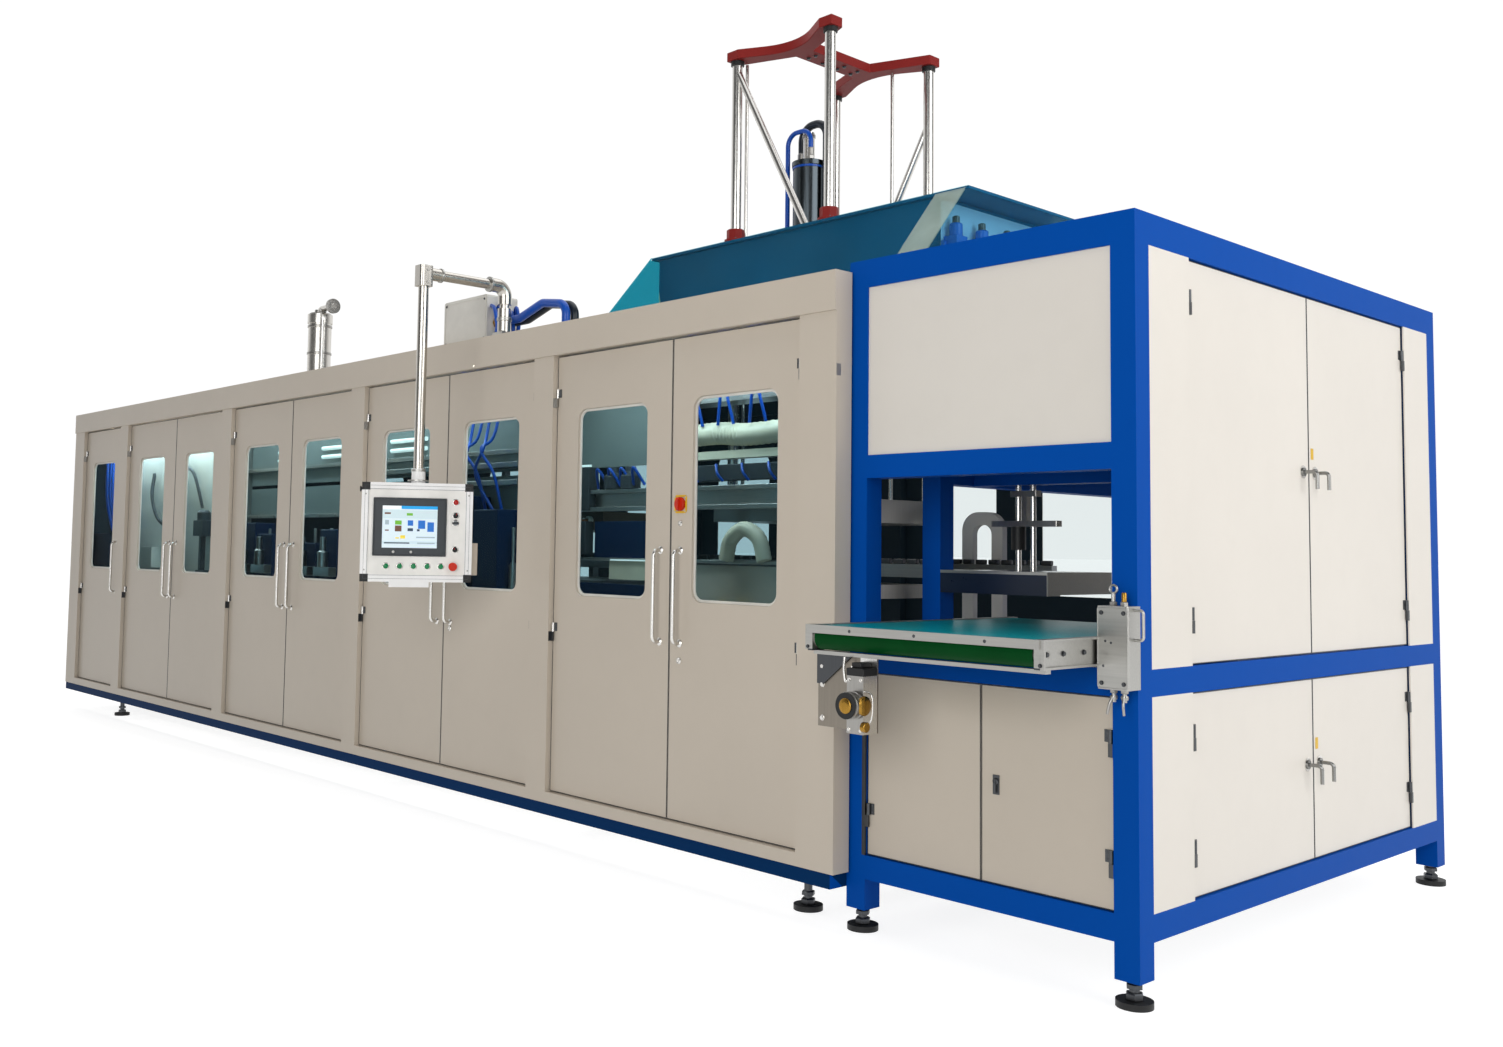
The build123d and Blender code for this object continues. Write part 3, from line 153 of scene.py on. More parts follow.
def spread(tree, factor, low, high):
    """Value between two limits over a factor."""
    inputs = {"Value": factor, "To Min": low, "To Max": high}
    return add_node(tree, "ShaderNodeMapRange", inputs).outputs["Result"]


def bump(tree, height, strength, distance):
    """Normal of a height."""
    inputs = {"Height": height, "Strength": strength, "Distance": distance}
    return add_node(tree, "ShaderNodeBump", inputs).outputs["Normal"]


# Finishes: each returns a function that adds its shader to a node tree

def paint(code, rough=0.36, tone=0.03, coat=0.1, gloss=0.3):
    """Sprayed enamel: fine orange peel, slow tone changes and faint handling marks."""
    def finish(tree):
        slow = shades(tree, noise(tree, 1.1, 4.0), code, 1 - tone, 1 + tone / 2)
        marks = ramp(tree, noise(tree, 9.0, 7.0), (0.9, 0.9, 0.89, 1), (1, 1, 1, 1), 0.28, 0.5)
        inputs = {"Factor": 0.12, "A": slow, "B": marks}
        colour = add_node(tree, "ShaderNodeMix", inputs, data_type="RGBA", blend_type="MULTIPLY")
        return principled(tree, {
            "Base Color": colour.outputs["Result"],
            "Roughness": spread(tree, noise(tree, 14.0, 6.0), rough - 0.02, rough + 0.03),
            "Normal": bump(tree, noise(tree, 380.0, 2.0), 0.05, 0.0006),
            "Coat Weight": coat,
            "Coat Roughness": 0.1,
            "Specular IOR Level": gloss,
        })
    return finish


def metal(code, rough=0.31, stretch=(40, 40, 1), strength=0.015):
    """Bare metal with a drawn or brushed grain along one axis."""
    def finish(tree):
        grain = noise(tree, 4.0, 5.0, stretch)
        return principled(tree, {
            "Base Color": shades(tree, grain, code, 0.92, 1.04),
            "Metallic": 1.0,
            "Roughness": spread(tree, grain, rough - 0.03, rough + 0.05),
            "Normal": bump(tree, grain, strength, 0.0003),
        })
    return finish


def plastic(code, rough=0.45, skin=900.0, strength=0.1, gloss=0.4):
    """Moulded plastic or rubber with a fine skin texture."""
    def finish(tree):
        return principled(tree, {
            "Base Color": shades(tree, noise(tree, 6.0), code, 0.9, 1.08),
            "Roughness": spread(tree, noise(tree, 60.0), rough - 0.07, rough + 0.07),
            "Normal": bump(tree, noise(tree, skin, 2.0), strength, 0.0004),
            "Specular IOR Level": gloss,
        })
    return finish


def clear_sheet(code, body_code, body=0.02, rough=0.05):
    """Clear sheet: light passes in a tint, with a little body colour, smears and a gloss."""
    def finish(tree):
        smear = noise(tree, 2.5, 6.0)
        through = add_node(tree, "ShaderNodeBsdfTransparent", {"Color": linear(code)}).outputs["BSDF"]
        surface = principled(tree, {
            "Base Color": shades(tree, smear, body_code, 0.8, 1.1),
            "Roughness": spread(tree, smear, rough, rough + 0.1),
            "Specular IOR Level": 0.4,
        })
        return mix_shaders(tree, spread(tree, smear, body * 0.7, body * 1.3), through, surface)
    return finish


def glow(code, strength):
    """Lit field of a display, with a faint pixel grain."""
    def finish(tree):
        colour = shades(tree, noise(tree, 800.0), code, 0.92, 1.0)
        inputs = {"Base Color": colour, "Emission Color": colour}
        return principled(tree, inputs | {"Roughness": 0.2, "Emission Strength": strength})
    return finish


# Masks: each returns a function that adds a 0 or 1 test of the place to a node tree

def beyond(direction, limit, origin=(0, 0, 0)):
    """Holds past a limit along a direction from an origin."""
    start = Vector(direction).dot(Vector(origin))
    return lambda tree: combine(tree, "GREATER_THAN", along(tree, "Object", direction), limit + start)


def all_of(*masks):
    """Holds where every mask holds."""
    def mask(tree):
        result = masks[0](tree)
        for other in masks[1:]:
            result = combine(tree, "MULTIPLY", result, other(tree))
        return result
    return mask


def between(direction, low, high, origin=(0, 0, 0)):
    """Holds between two limits along a direction."""
    return all_of(beyond(direction, low, origin), beyond(-Vector(direction), -high, origin))


def on_panel(across, up, out):
    """Holds in a block in the control panel's own directions."""
    limits = ((ACROSS, across), (Z, up), (OUTWARD, out))
    return all_of(*(between(way, *pair, origin=PANEL_CORNER) for way, pair in limits))


def material(name, base, *overlays):
    """Material of one finish, with further (finish, mask) pairs laid over it."""
    data = bpy.data.materials.new(name)
    data.use_nodes = True
    tree = data.node_tree
    tree.nodes.remove(tree.nodes["Principled BSDF"])
    surface = base(tree)
    for finish, mask in overlays:
        surface = mix_shaders(tree, mask(tree), surface, finish(tree))
    tree.links.new(surface, tree.nodes["Material Output"].inputs["Surface"])
    return data


CABINET = paint("#CBC0B1")
PANEL = paint("#E4DED5", rough=0.32)
BLUE = paint("#004CA8", rough=0.45, coat=0.0, gloss=0.04)
INSIDE = paint("#26343D", rough=0.5, coat=0.0, gloss=0.1)
INSIDE_BLUE = paint("#0A2648", rough=0.4, coat=0.0, gloss=0.15)
STEEL = metal("#A5A39F")
DARK_STEEL = metal("#55575A", rough=0.38)
CHROME = metal("#DBD9D5", rough=0.22, strength=0.0)
ALUMINIUM = metal("#B3B2AE", rough=0.34, stretch=(1, 40, 40))
BRASS = metal("#A07A34", rough=0.26)
BLACK = plastic("#151617", rough=0.5)
DARK_GREY = plastic("#3A3F43", rough=0.42)
HOSE_BLUE = plastic("#0B4FB4", rough=0.3)
WHITE = plastic("#DEDBD3", rough=0.4)
RED = paint("#8A2724", rough=0.45, coat=0.0, gloss=0.12)
YELLOW = plastic("#E2B414", rough=0.35)
TEAL = paint("#005B85", rough=0.4, tone=0.25, coat=0.0, gloss=0.1)
GUARD = clear_sheet("#E2F6F8", "#7FC6CF")
BELT = plastic("#0A8A92", rough=0.3, skin=300.0, strength=0.05, gloss=0.02)

# Finishes by the record's slots
FINISHES = {
    "cabinet_paint": CABINET,
    "panel_white": PANEL,
    "frame_blue": BLUE,
    "teal_paint": TEAL,
    "red_paint": RED,
    "guard_tint": GUARD,
    "window_glass": clear_sheet("#CFE2E7", "#2C4347", body=0.04),
    "bright_steel": STEEL,
    "chrome_rod": CHROME,
    "aluminium_profile": ALUMINIUM,
    "belt_green": BELT,
    "black_rubber": BLACK,
    "white_plastic": WHITE,
    "screen_glass": glow("#D6E6EE", 0.35),
    "button_green": plastic("#12804A", rough=0.25),
    "stop_red": plastic("#D02A12", rough=0.24),
}
# Further finishes of added pieces
FINISHES |= {
    "brass": BRASS,
    "dark_steel": DARK_STEEL,
    "hose_blue": HOSE_BLUE,
    "dark_grey": DARK_GREY,
    "yellow_plate": YELLOW,
    "lamp_red": plastic("#B51B14", rough=0.2),
    "valve_blue": paint("#1565C8", rough=0.25),
    "copper": metal("#A5673F", rough=0.35),
    "panel_grey": paint("#78827F", rough=0.4),
    "duct_cream": plastic("#E9E0C6", rough=0.45),
    "inside_blue": INSIDE_BLUE,
    "tube_light": glow("#F4F6EE", 0.9),
}
MATERIALS = {name: material(name, finish) for name, finish in FINISHES.items()}


def node_materials():
    """Finishes of CAD nodes whose fittings differ from their body, told apart by place."""
    proud_of_door = beyond(-Y, EDGE - DOOR_Y)
    hinge_leaf = all_of(
        between(Y, LOW["cabinet_frame"].y + 0.0095, DOOR_Y - EDGE),
        beyond(-Z, -HIGH["door_1"].z + 0.15),
        beyond(Z, LOW["door_1"].z + 0.6),
    )
    lugs = [all_of(hinge_leaf, between(Z, row - 0.046, row + 0.001)) for row in HINGE_ROWS]
    inner_y = between(Y, FRONT_Y + 0.0905, HIGH["cover_panels"].y - 0.0905)
    inner_x = between(X, LOW["conveyor_frame"].x - 0.061, RIGHT_X - 0.0905)
    lower_row, upper_row = between(Z, 0.2935, 0.9895), between(Z, 1.0805, 2.4895)
    station_lugs = [all_of(beyond(X, RIGHT_X - 0.008), inner_y, row) for row in (lower_row, upper_row)]
    station_lugs.append(all_of(beyond(-Y, -FRONT_Y - 0.008), inner_x, lower_row))
    guard_left, guard_right = LOW["press_guard"].x, HIGH["press_guard"].x
    # Left end sheet with a denser cyan tint and more body colour than the rest of the guard: painted light passing
    # through it
    left_sheet_painted_light = clear_sheet("#5FC3D0", "#0D8FA4", body=0.1)
    right_sheet = clear_sheet("#E4F6FA", "#8CC7DC")
    pale_sheet = clear_sheet("#E8F2EC", "#BFD0C4", body=0.4)
    in_head = beyond(X, GUARD_WALL_X - 0.0025), beyond(-Z, 0.03 - GUARD_TOP)
    plinth_painted_shade = all_of(beyond(-X, 0.02 - HIGH["cabinet_frame"].x), beyond(-Z, -0.3))
    gear_side = all_of(beyond(X, MOTOR_X - 0.0375), beyond(-Y, -(MOTOR_FACE_Y + 0.0742)))
    special = {name: [CABINET, (CHROME, proud_of_door)] for name in DOORS}
    for name in FRONT_DOORS:
        special[name] = [CABINET, (DARK_STEEL, beyond(-Y, EDGE - FRONT_DOOR_Y))]
    for name in SIDE_DOORS:
        special[name] = [PANEL, (DARK_STEEL, beyond(X, SIDE_DOOR_X + EDGE))]
    low, high = LOW["cabinet_frame"], HIGH["cabinet_frame"]
    in_cabinet = all_of(
        between(X, low.x + 0.004, high.x - 0.004),
        between(Y, DOOR_Y + 0.06, high.y - 0.004),
        between(Z, low.z + 0.004, ROOF_Z - 0.004),
    )
    special["cabinet_frame"] = [
        CABINET,
        (INSIDE, in_cabinet),
        # Upper lugs bright steel and lower lugs dark steel, a lit and a shaded copy of one hinge: painted
        # highlight and painted shade
        (STEEL, lugs[0]),
        (DARK_STEEL, lugs[1]),
    ]
    low, high = LOW["cover_panels"], HIGH["cover_panels"]
    behind_panels = between(X, low.x + 0.004, RIGHT_X - 0.006), between(Y, FRONT_Y + 0.012, high.y - 0.004)
    special["cover_panels"] = [
        PANEL,
        (INSIDE, all_of(*behind_panels, beyond(-X, -3.79), beyond(-Z, 0.004 - ROOF_Z))),
        (INSIDE_BLUE, all_of(*behind_panels, beyond(X, 3.79), beyond(-Z, 0.004 - high.z))),
    ]
    special["rear_windows"] = [clear_sheet("#F2F6F6", "#C8D4D6")]
    special["boom"] = [metal("#C2BEB7", rough=0.24, strength=0.0)]
    special["boom_base"] = [metal("#C2BEB7", rough=0.28, strength=0.0)]
    special["roof_filter"] = [metal("#D6D3CD", rough=0.26, strength=0.0)]
    special["press_crosshead"] = [
        TEAL,
        (paint("#A9CBE8", rough=0.3), all_of(*in_head)),
        (paint("#B9C4AE"), beyond((-1, 0, -0.19), -0.1, (guard_left, 0, ROOF_Z))),
    ]
    special["machine_frame"] = [
        BLUE,
        *((DARK_STEEL, lug) for lug in station_lugs),
        # Plinth under the cabinet in a darker navy of the same blue paint: painted shade
        (paint("#03305E", rough=0.5, coat=0.0, gloss=0.03), plinth_painted_shade),
    ]
    special["press_guard"] = [
        GUARD,
        (pale_sheet, all_of(beyond(X, GUARD_WALL_X), beyond(-Y, 0.5 - PRESS_Y))),
        (left_sheet_painted_light, beyond(-X, -guard_left - 0.0062)),
        (right_sheet, beyond(X, guard_right - 0.0062)),
    ]
    special["levelling_feet"] = [BLACK, (DARK_STEEL, beyond(Z, 0.0223))]
    special["drive_cylinder"] = [
        metal("#4B5257", rough=0.22),
        (CHROME, beyond(Z, CYLINDER_CAP + EDGE)),
    ]
    special["roof_hoses"] = [
        plastic("#16202B", rough=0.32),
        (HOSE_BLUE, all_of(beyond(Z, GUARD_TOP - 0.01), beyond(-Y, 0.02 - PRESS_Y))),
        (HOSE_BLUE, all_of(beyond(-Z, -GUARD_TOP), beyond(-Y, -(LOW["cable_box"].y + 0.1)))),
    ]
    special["gear_motor"] = [
        metal("#8C857B", rough=0.36),
        (metal("#DAD9D6", rough=0.22), gear_side),
        (STEEL, beyond(-Y, -(MOTOR_FACE_Y + EDGE))),
        (BLACK, beyond(-Y, -(LOW["gear_motor"].y + 0.002))),
        (ALUMINIUM, beyond(Z, HIGH["gear_motor"].z - 0.0142)),
    ]
    special["conveyor_belt"] = [
        BELT,
        # All faces below the belt's top in a darker green: painted shade on its front and sides
        (plastic("#04421A", rough=0.4, gloss=0.04), beyond(-Z, 0.003 - HIGH["conveyor_belt"].z)),
    ]
    special["conveyor_frame"] = [
        ALUMINIUM,
        # Bottom lip of the frame's front part in dark steel: painted shade under the belt
        (DARK_STEEL, all_of(beyond(-Z, -(LOW["conveyor_frame"].z + 0.018)), beyond(-Y, -FRONT_Y))),
    ]
    special["sheet_line"] = [
        metal("#8E9295", rough=0.36, stretch=(1, 40, 40)),
        (paint("#E7E5DF"), all_of(between(X, 3.0, 3.4), beyond(Y, HIGH["sheet_line"].y - 0.0402))),
        (metal("#6E6257", rough=0.42), all_of(between(Z, 1.5595, 1.6705), beyond(-X, -1.2))),
    ]
    special["stacker_rods"] = [
        CHROME,
        (ALUMINIUM, between(Z, 1.3721, 1.3839)),
        (plastic("#122036", rough=0.3), beyond(-Z, -1.3721)),
        (ALUMINIUM, all_of(beyond(-Z, -1.3721), beyond(X, HIGH["stacker_rods"].x - 0.002))),
    ]
    special["stacker_carriage"] = [
        STEEL,
        (BLACK, beyond(-Z, -(LOW["stacker_carriage"].z + 0.0958))),
    ]
    cap_sides = (-0.005, 0.04), (PANEL_SIZE[0] - 0.04, PANEL_SIZE[0] + 0.005)
    cap_rows = (-0.005, 0.038), (PANEL_SIZE[1] - 0.038, PANEL_SIZE[1] + 0.005)
    special["control_housing"] = [
        plastic("#FDFCFA", rough=0.35),
        (plastic("#F6F4EF", rough=0.4), on_panel((0.035, 0.505), (0.035, 0.452), (-0.002, 0.004))),
        (DARK_GREY, on_panel((0.0565, 0.4135), (0.1255, 0.4135), (0.0002, 0.0055))),
        *((BLACK, on_panel(across, up, (-0.07, 0.02))) for across in cap_sides for up in cap_rows),
    ]
    lamps = [plastic("#B8201A", rough=0.2), BLACK, plastic("#8E9396", rough=0.3), BLACK]
    special["push_buttons"] = [
        plastic("#0F7E48", rough=0.24),
        *(
            (finish, on_panel((0.44, 0.475), (row - 0.014, row + 0.014), (-0.01, 0.02)))
            for finish, row in zip(lamps, BUTTON_ROWS)
        ),
    ]
    for name in LEVERS:
        special[name] = [metal("#8F8F8D", rough=0.24)]
    return {name: material(f"{name}_finish", *layers) for name, layers in special.items()}


def round_edges(obj, width, segments=2):
    """Soft edges on an object, with even shading over its flat faces."""
    weld = obj.modifiers.new("weld", "WELD")
    weld.merge_threshold = 0.00002
    bevel = obj.modifiers.new("soft_edges", "BEVEL")
    bevel.width = width
    bevel.segments = segments
    bevel.limit_method = "ANGLE"
    bevel.angle_limit = math.radians(50)
    bevel.use_clamp_overlap = True
    obj.modifiers.new("even_shading", "WEIGHTED_NORMAL").keep_sharp = True


SOFT_EDGES = {
    "machine_frame": 0.004, "tie_plate": 0.004,
    "control_housing": 0.002, "conveyor_frame": 0.0015, "service_box": 0.002, "cable_box": 0.004,
    "gear_motor": 0.002, "press_crosshead": 0.003, "sheet_line": 0.002, "stacker_rods": 0.0015,
    "stacker_carriage": 0.0015, "upper_platen": 0.003, "mould_table": 0.003, "control_screen": 0.0005,
    "push_buttons": 0.002, "emergency_stop": 0.004, "main_switch": 0.002, "levelling_feet": 0.003,
    "drive_cylinder": 0.004, "guide_bushes": 0.003, "roof_filter": 0.004, "boom_base": 0.003,
}
SOFT_EDGES |= {name: 0.0012 for name in DOORS + FRONT_DOORS + SIDE_DOORS}


def dress_nodes():
    """Finishes and soft edges of all CAD nodes."""
    special = node_materials()
    for part in frame["record"]["subparts"]:
        name = part["node"]
        node = NODES[name]
        node.data.materials.clear()
        node.data.materials.append(special.get(name) or MATERIALS[part["material_slot"]])
        if name in SOFT_EDGES:
            round_edges(node, SOFT_EDGES[name])


# Added pieces

def smooth_line(points, steps):
    """Points along a smooth line through the given ones."""
    points = [Vector(point) for point in points]
    ends = [points[0] * 2 - points[1]] + points + [points[-1] * 2 - points[-2]]
    line = []
    for before, start, end, after in zip(ends, ends[1:], ends[2:], ends[3:]):
        for step in range(steps):
            t = step / steps
            line.append(
                0.5 * (
                    2 * start
                    + (end - before) * t
                    + (2 * before - 5 * start + 4 * end - after) * t ** 2
                    + (3 * start - before - 3 * end + after) * t ** 3
                )
            )
    return line + [points[-1]]


def stud(radius, height, tip, top):
    """Profile of a straight stud with a chamfered end."""
    return [(radius, 0), (radius, height), (tip, top)]


def collar(bore, radius, height, lip=0.002):
    """Profile of a collar with softened lips."""
    return [(bore, 0), (radius, lip), (radius, height - lip), (bore, height)]


class Piece:
    """Added piece: forms gathered in one mesh, with a finish, the body that carries it and soft edges."""
    made = []

    def __init__(self, name, slot, body="machine", edges=0.0):
        self.name, self.slot, self.body, self.edges = name, slot, body, edges
        self.bm = bmesh.new()
        Piece.made.append(self)

    def box(self, low, high):
        """Block between two corners."""
        low, high = Vector(low), Vector(high)
        verts = bmesh.ops.create_cube(self.bm, size=1.0)["verts"]
        bmesh.ops.scale(self.bm, vec=high - low, verts=verts)
        bmesh.ops.translate(self.bm, vec=(low + high) / 2, verts=verts)

    def slab(self, corner, directions, limits):
        """Block between limits along three directions from a corner."""
        for vert in bmesh.ops.create_cube(self.bm, size=1.0)["verts"]:
            place = Vector(corner)
            for share, direction, (low, high) in zip(vert.co, directions, limits):
                place += direction * (low + (share + 0.5) * (high - low))
            vert.co = place

    def panel_slab(self, across, up, out):
        """Block between limits in the control panel's directions."""
        self.slab(PANEL_CORNER, (ACROSS, Z, OUTWARD), (across, up, out))

    def skin(self, rings, caps=True):
        """Faces between rings of points, closed at both ends where asked."""
        count = len(rings[0])
        for low, high in zip(rings, rings[1:]):
            for step in range(count):
                after = (step + 1) % count
                self.bm.faces.new((low[step], low[after], high[after], high[step]))
        if caps:
            self.bm.faces.new(rings[0][::-1])
            self.bm.faces.new(rings[-1])

    def plate(self, corners, thickness):
        """Flat plate over an outline of corners, with its thickness towards the front."""
        depths = (0, thickness)
        self.skin([[self.bm.verts.new(Vector(c) - Y * depth) for c in corners] for depth in depths])

    def turned(self, foot, axis, profile, steps=24):
        """Turned form: (radius, height) points swept round an axis from its foot."""
        turn = Vector(axis).to_track_quat("Z", "Y").to_matrix()
        angles = [math.tau * step / steps for step in range(steps)]
        rings = []
        for radius, height in profile:
            places = [turn @ Vector((radius * math.cos(a), radius * math.sin(a), height)) for a in angles]
            rings.append([self.bm.verts.new(Vector(foot) + place) for place in places])
        self.skin(rings)

    def bolt(self, foot, axis, size):
        """Washer and hexagon head on a face."""
        self.turned(foot, axis, [(size * 1.15, 0), (size * 1.15, size * 0.2)], 20)
        head = [(size * 0.95, size * 0.2), (size * 0.95, size * 0.75), (size * 0.8, size * 0.9)]
        self.turned(foot, axis, head, 6)

    def tube(self, points, radius, steps=8, sides=12, ribs=0.0):
        """Round tube along a smooth line, ribbed where asked."""
        line = smooth_line(points, steps)
        angles = [math.tau * step / sides for step in range(sides)]
        rings = []
        side = None
        for index, place in enumerate(line):
            ahead = line[min(index + 1, len(line) - 1)] - line[max(index - 1, 0)]
            ahead.normalize()
            if side is None:
                side = ahead.orthogonal().normalized()
            side = (side - ahead * side.dot(ahead)).normalized()
            over = ahead.cross(side)
            reach = radius * (1 + (ribs if index % 2 else 0))
            spokes = [side * math.cos(a) + over * math.sin(a) for a in angles]
            rings.append([self.bm.verts.new(place + spoke * reach) for spoke in spokes])
        self.skin(rings)

    def rod(self, start, end, radius):
        """Straight round rod."""
        self.tube([start, (Vector(start) + Vector(end)) / 2, end], radius)

    def ring(self, centre, across, up, size, corner, width, depth, steps=6):
        """Rounded rectangular ring of a width, laid on a face and standing a depth proud of it."""
        out = across.cross(up)
        loops = []
        for inset, height in ((0, 0), (0, depth), (width, depth), (width, 0)):
            loop = []
            for quarter, (sx, sy) in enumerate(((1, 1), (-1, 1), (-1, -1), (1, -1))):
                radius = max(corner - inset, 0.0005)
                middle = Vector((sx * (size[0] / 2 - corner), sy * (size[1] / 2 - corner)))
                for step in range(steps + 1):
                    angle = math.pi / 2 * (quarter + step / steps)
                    point = middle + radius * Vector((math.cos(angle), math.sin(angle)))
                    loop.append(self.bm.verts.new(centre + across * point.x + up * point.y + out * height))
            loops.append(loop)
        self.skin(loops + loops[:1], caps=False)

    def lock(self, place, axis, size=0.015):
        """Round lock barrel with a raised key bar."""
        barrel = [(1, 0), (1, 0.25), (0.8, 0.5), (0.72, 0.5), (0.68, 0.3)]
        self.turned(place, axis, [(radius * size, height * size) for radius, height in barrel])
        bar = ((-0.12, 0.12), (-0.5, 0.5), (0.25, 0.45))
        directions = (Vector(axis).cross(Z), Z, Vector(axis))
        self.slab(place, directions, [(low * size, high * size) for low, high in bar])

    def hinge_leaf(self, edge, inward, out, z):
        """Screwed hinge leaf beside the door's half of a knuckle: plate and two countersunk screws."""
        thickness = 0.0025
        self.slab(edge, (inward, Z, out), ((0.012, 0.032), (z + 0.003, z + 0.044), (0, thickness)))
        for height in (z + 0.012, z + 0.035):
            place = edge + inward * 0.022 + Z * height + out * thickness
            self.turned(place, out, [(0.005, 0), (0.0035, 0.0012)], 12)

    def finish(self):
        """Object of the gathered forms, carried by its body."""
        bmesh.ops.recalc_face_normals(self.bm, faces=self.bm.faces)
        mesh = bpy.data.meshes.new(self.name)
        self.bm.to_mesh(mesh)
        self.bm.free()
        mesh.shade_smooth()
        mesh.set_sharp_from_angle(angle=math.radians(38))
        mesh.materials.append(MATERIALS[self.slot])
        obj = bpy.data.objects.new(self.name, mesh)
        bpy.context.collection.objects.link(obj)
        if self.edges:
            round_edges(obj, self.edges)
        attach(obj, self.body)


dress_nodes()


# Cabinet doors

def middle(name):
    """Centre of a CAD node's box."""
    return (LOW[name] + HIGH[name]) / 2


def add_painted_shadow_gap(name, face, across, out):
    """Dark strip round a door's edges, on its face: painted shade for the shadow gap round the door."""
    start, end = sorted((LOW[name].dot(across), HIGH[name].dot(across)))
    low, high = LOW[name].z, HIGH[name].z
    painted_shadow_gap = Piece(f"{name}_seal", "dark_grey", name)
    for left, right in ((start, start + SHADOW_GAP_WIDTH), (end - SHADOW_GAP_WIDTH, end)):
        painted_shadow_gap.slab(face, (across, Z, out), ((left, right), (low, high), (-0.001, 0.0005)))
    for bottom, top in ((low, low + SHADOW_GAP_WIDTH), (high - SHADOW_GAP_WIDTH, high)):
        painted_shadow_gap.slab(face, (across, Z, out), ((start + SHADOW_GAP_WIDTH, end - SHADOW_GAP_WIDTH), (bottom, top), (-0.001, 0.0005)))


def dress_cabinet_doors():
    """Window gaskets, white as a painted highlight of the window rims, handle roses, hinge leaves and locks of the
    nine cabinet doors.
    """
    handle_rows = (1.04, 1.446)
    locks = {"door_9": 0.965, "door_7": 1.008}
    for number, name in enumerate(DOORS, start=1):
        hinged_right = number > 1 and number % 2 == 1
        inward = -X if hinged_right else X
        hinge_edge = Vector((HIGH[name].x if hinged_right else LOW[name].x, DOOR_Y, 0))
        handle_x = LOW[name].x + 0.064 if hinged_right else HIGH[name].x - 0.064
        pane = middle(f"window_{number}")
        add_painted_shadow_gap(name, Y * DOOR_Y, X, -Y)
        # Real gasket made white: painted highlight for the lit rim round each pane
        gasket = Piece(f"window_gasket_painted_highlight_{number}", "white_plastic", name, 0.001)
        seat = Vector((pane.x, LOW[f"window_{number}"].y, pane.z))
        gasket.ring(seat, X, Z, (0.5096, 0.8976), 0.055, 0.012, 0.007)
        fittings = Piece(f"handle_roses_{number}", "chrome_rod", name)
        for row in handle_rows:
            rose = [(0.018, 0), (0.018, 0.003), (0.013, 0.008), (0.0092, 0.009)]
            fittings.turned((handle_x, DOOR_Y, row), -Y, rose)
        if name in locks:
            fittings.lock(Vector((handle_x, DOOR_Y, locks[name])), -Y)
        leaves = Piece(f"hinge_leaves_{number}", "dark_steel", name)
        for row in HINGE_ROWS:
            leaves.hinge_leaf(hinge_edge, inward, -Y, row)


def dress_main_switch():
    """Yellow surround of the main switch and the key lock under it."""
    knob = middle("main_switch")
    face = Vector((knob.x, DOOR_Y, knob.z))
    plate = Piece("main_switch_surround", "yellow_plate", "door_9", 0.001)
    plate.ring(face, X, Z, (0.08, 0.08), 0.014, 0.009, 0.004)
    lock = Piece("main_switch_lock", "chrome_rod", "door_9")
    lock.lock(face - Z * 0.085, -Y, 0.013)
    for side in (-1, 1):
        lock.bolt(face + X * side * 0.0325 + Z * 0.0325 - Y * 0.004, -Y, 0.0028)
        lock.bolt(face + X * side * 0.0325 - Z * 0.0325 - Y * 0.004, -Y, 0.0028)


# Stacking station

def dress_station_doors():
    """Hinge leaves, key lock and tags of the station's doors."""
    for name in FRONT_DOORS:
        add_painted_shadow_gap(name, Y * FRONT_DOOR_Y, X, -Y)
        leaves = Piece(f"{name}_hinge_leaves", "dark_steel", name)
        edge_x = LOW[name].x if name.endswith("left") else HIGH[name].x
        inward = X if name.endswith("left") else -X
        for row in (LOW[name].z + 0.15, HIGH[name].z - 0.15):
            leaves.hinge_leaf(Vector((edge_x, FRONT_DOOR_Y, 0)), inward, -Y, row)
    lock = Piece("front_door_lock", "dark_steel", "station_front_door_right", 0.0008)
    place = Vector((LOW["station_front_door_right"].x + 0.062, FRONT_DOOR_Y, 0.64))
    lock.slab(place, (X, Z, -Y), ((-0.013, 0.013), (-0.034, 0.034), (0, 0.004)))
    lock.lock(place - Y * 0.004 + Z * 0.012, -Y, 0.012)
    lock.slab(place - Y * 0.004, (X, Z, -Y), ((-0.004, 0.004), (-0.028, 0.006), (0.006, 0.009)))
    for name in SIDE_DOORS:
        add_painted_shadow_gap(name, X * SIDE_DOOR_X, Y, X)
        leaves = Piece(f"{name}_hinge_leaves", "dark_steel", name)
        near = name.endswith("near")
        edge = Vector((SIDE_DOOR_X, LOW[name].y if near else HIGH[name].y, 0))
        for row in (LOW[name].z + 0.15, HIGH[name].z - 0.15):
            leaves.hinge_leaf(edge, Y if near else -Y, X, row)
        rose = Piece(f"{name}_rose", "chrome_rod", name)
        lever = middle(name.replace("station_door", "lever"))
        top = HIGH[name.replace("station_door", "lever")].z - 0.017
        rose.ring(Vector((SIDE_DOOR_X, lever.y, top)), Y, Z, (0.052, 0.052), 0.0258, 0.0085, 0.003)
        if not near:
            tag = Piece(f"{name}_tag", "yellow_plate", name, 0.0005)
            place = Vector((SIDE_DOOR_X, LOW[name].y + 0.03, top + 0.075))
            tag.slab(place, (Y, Z, X), ((-0.012, 0.012), (-0.022, 0.022), (0, 0.0012)))


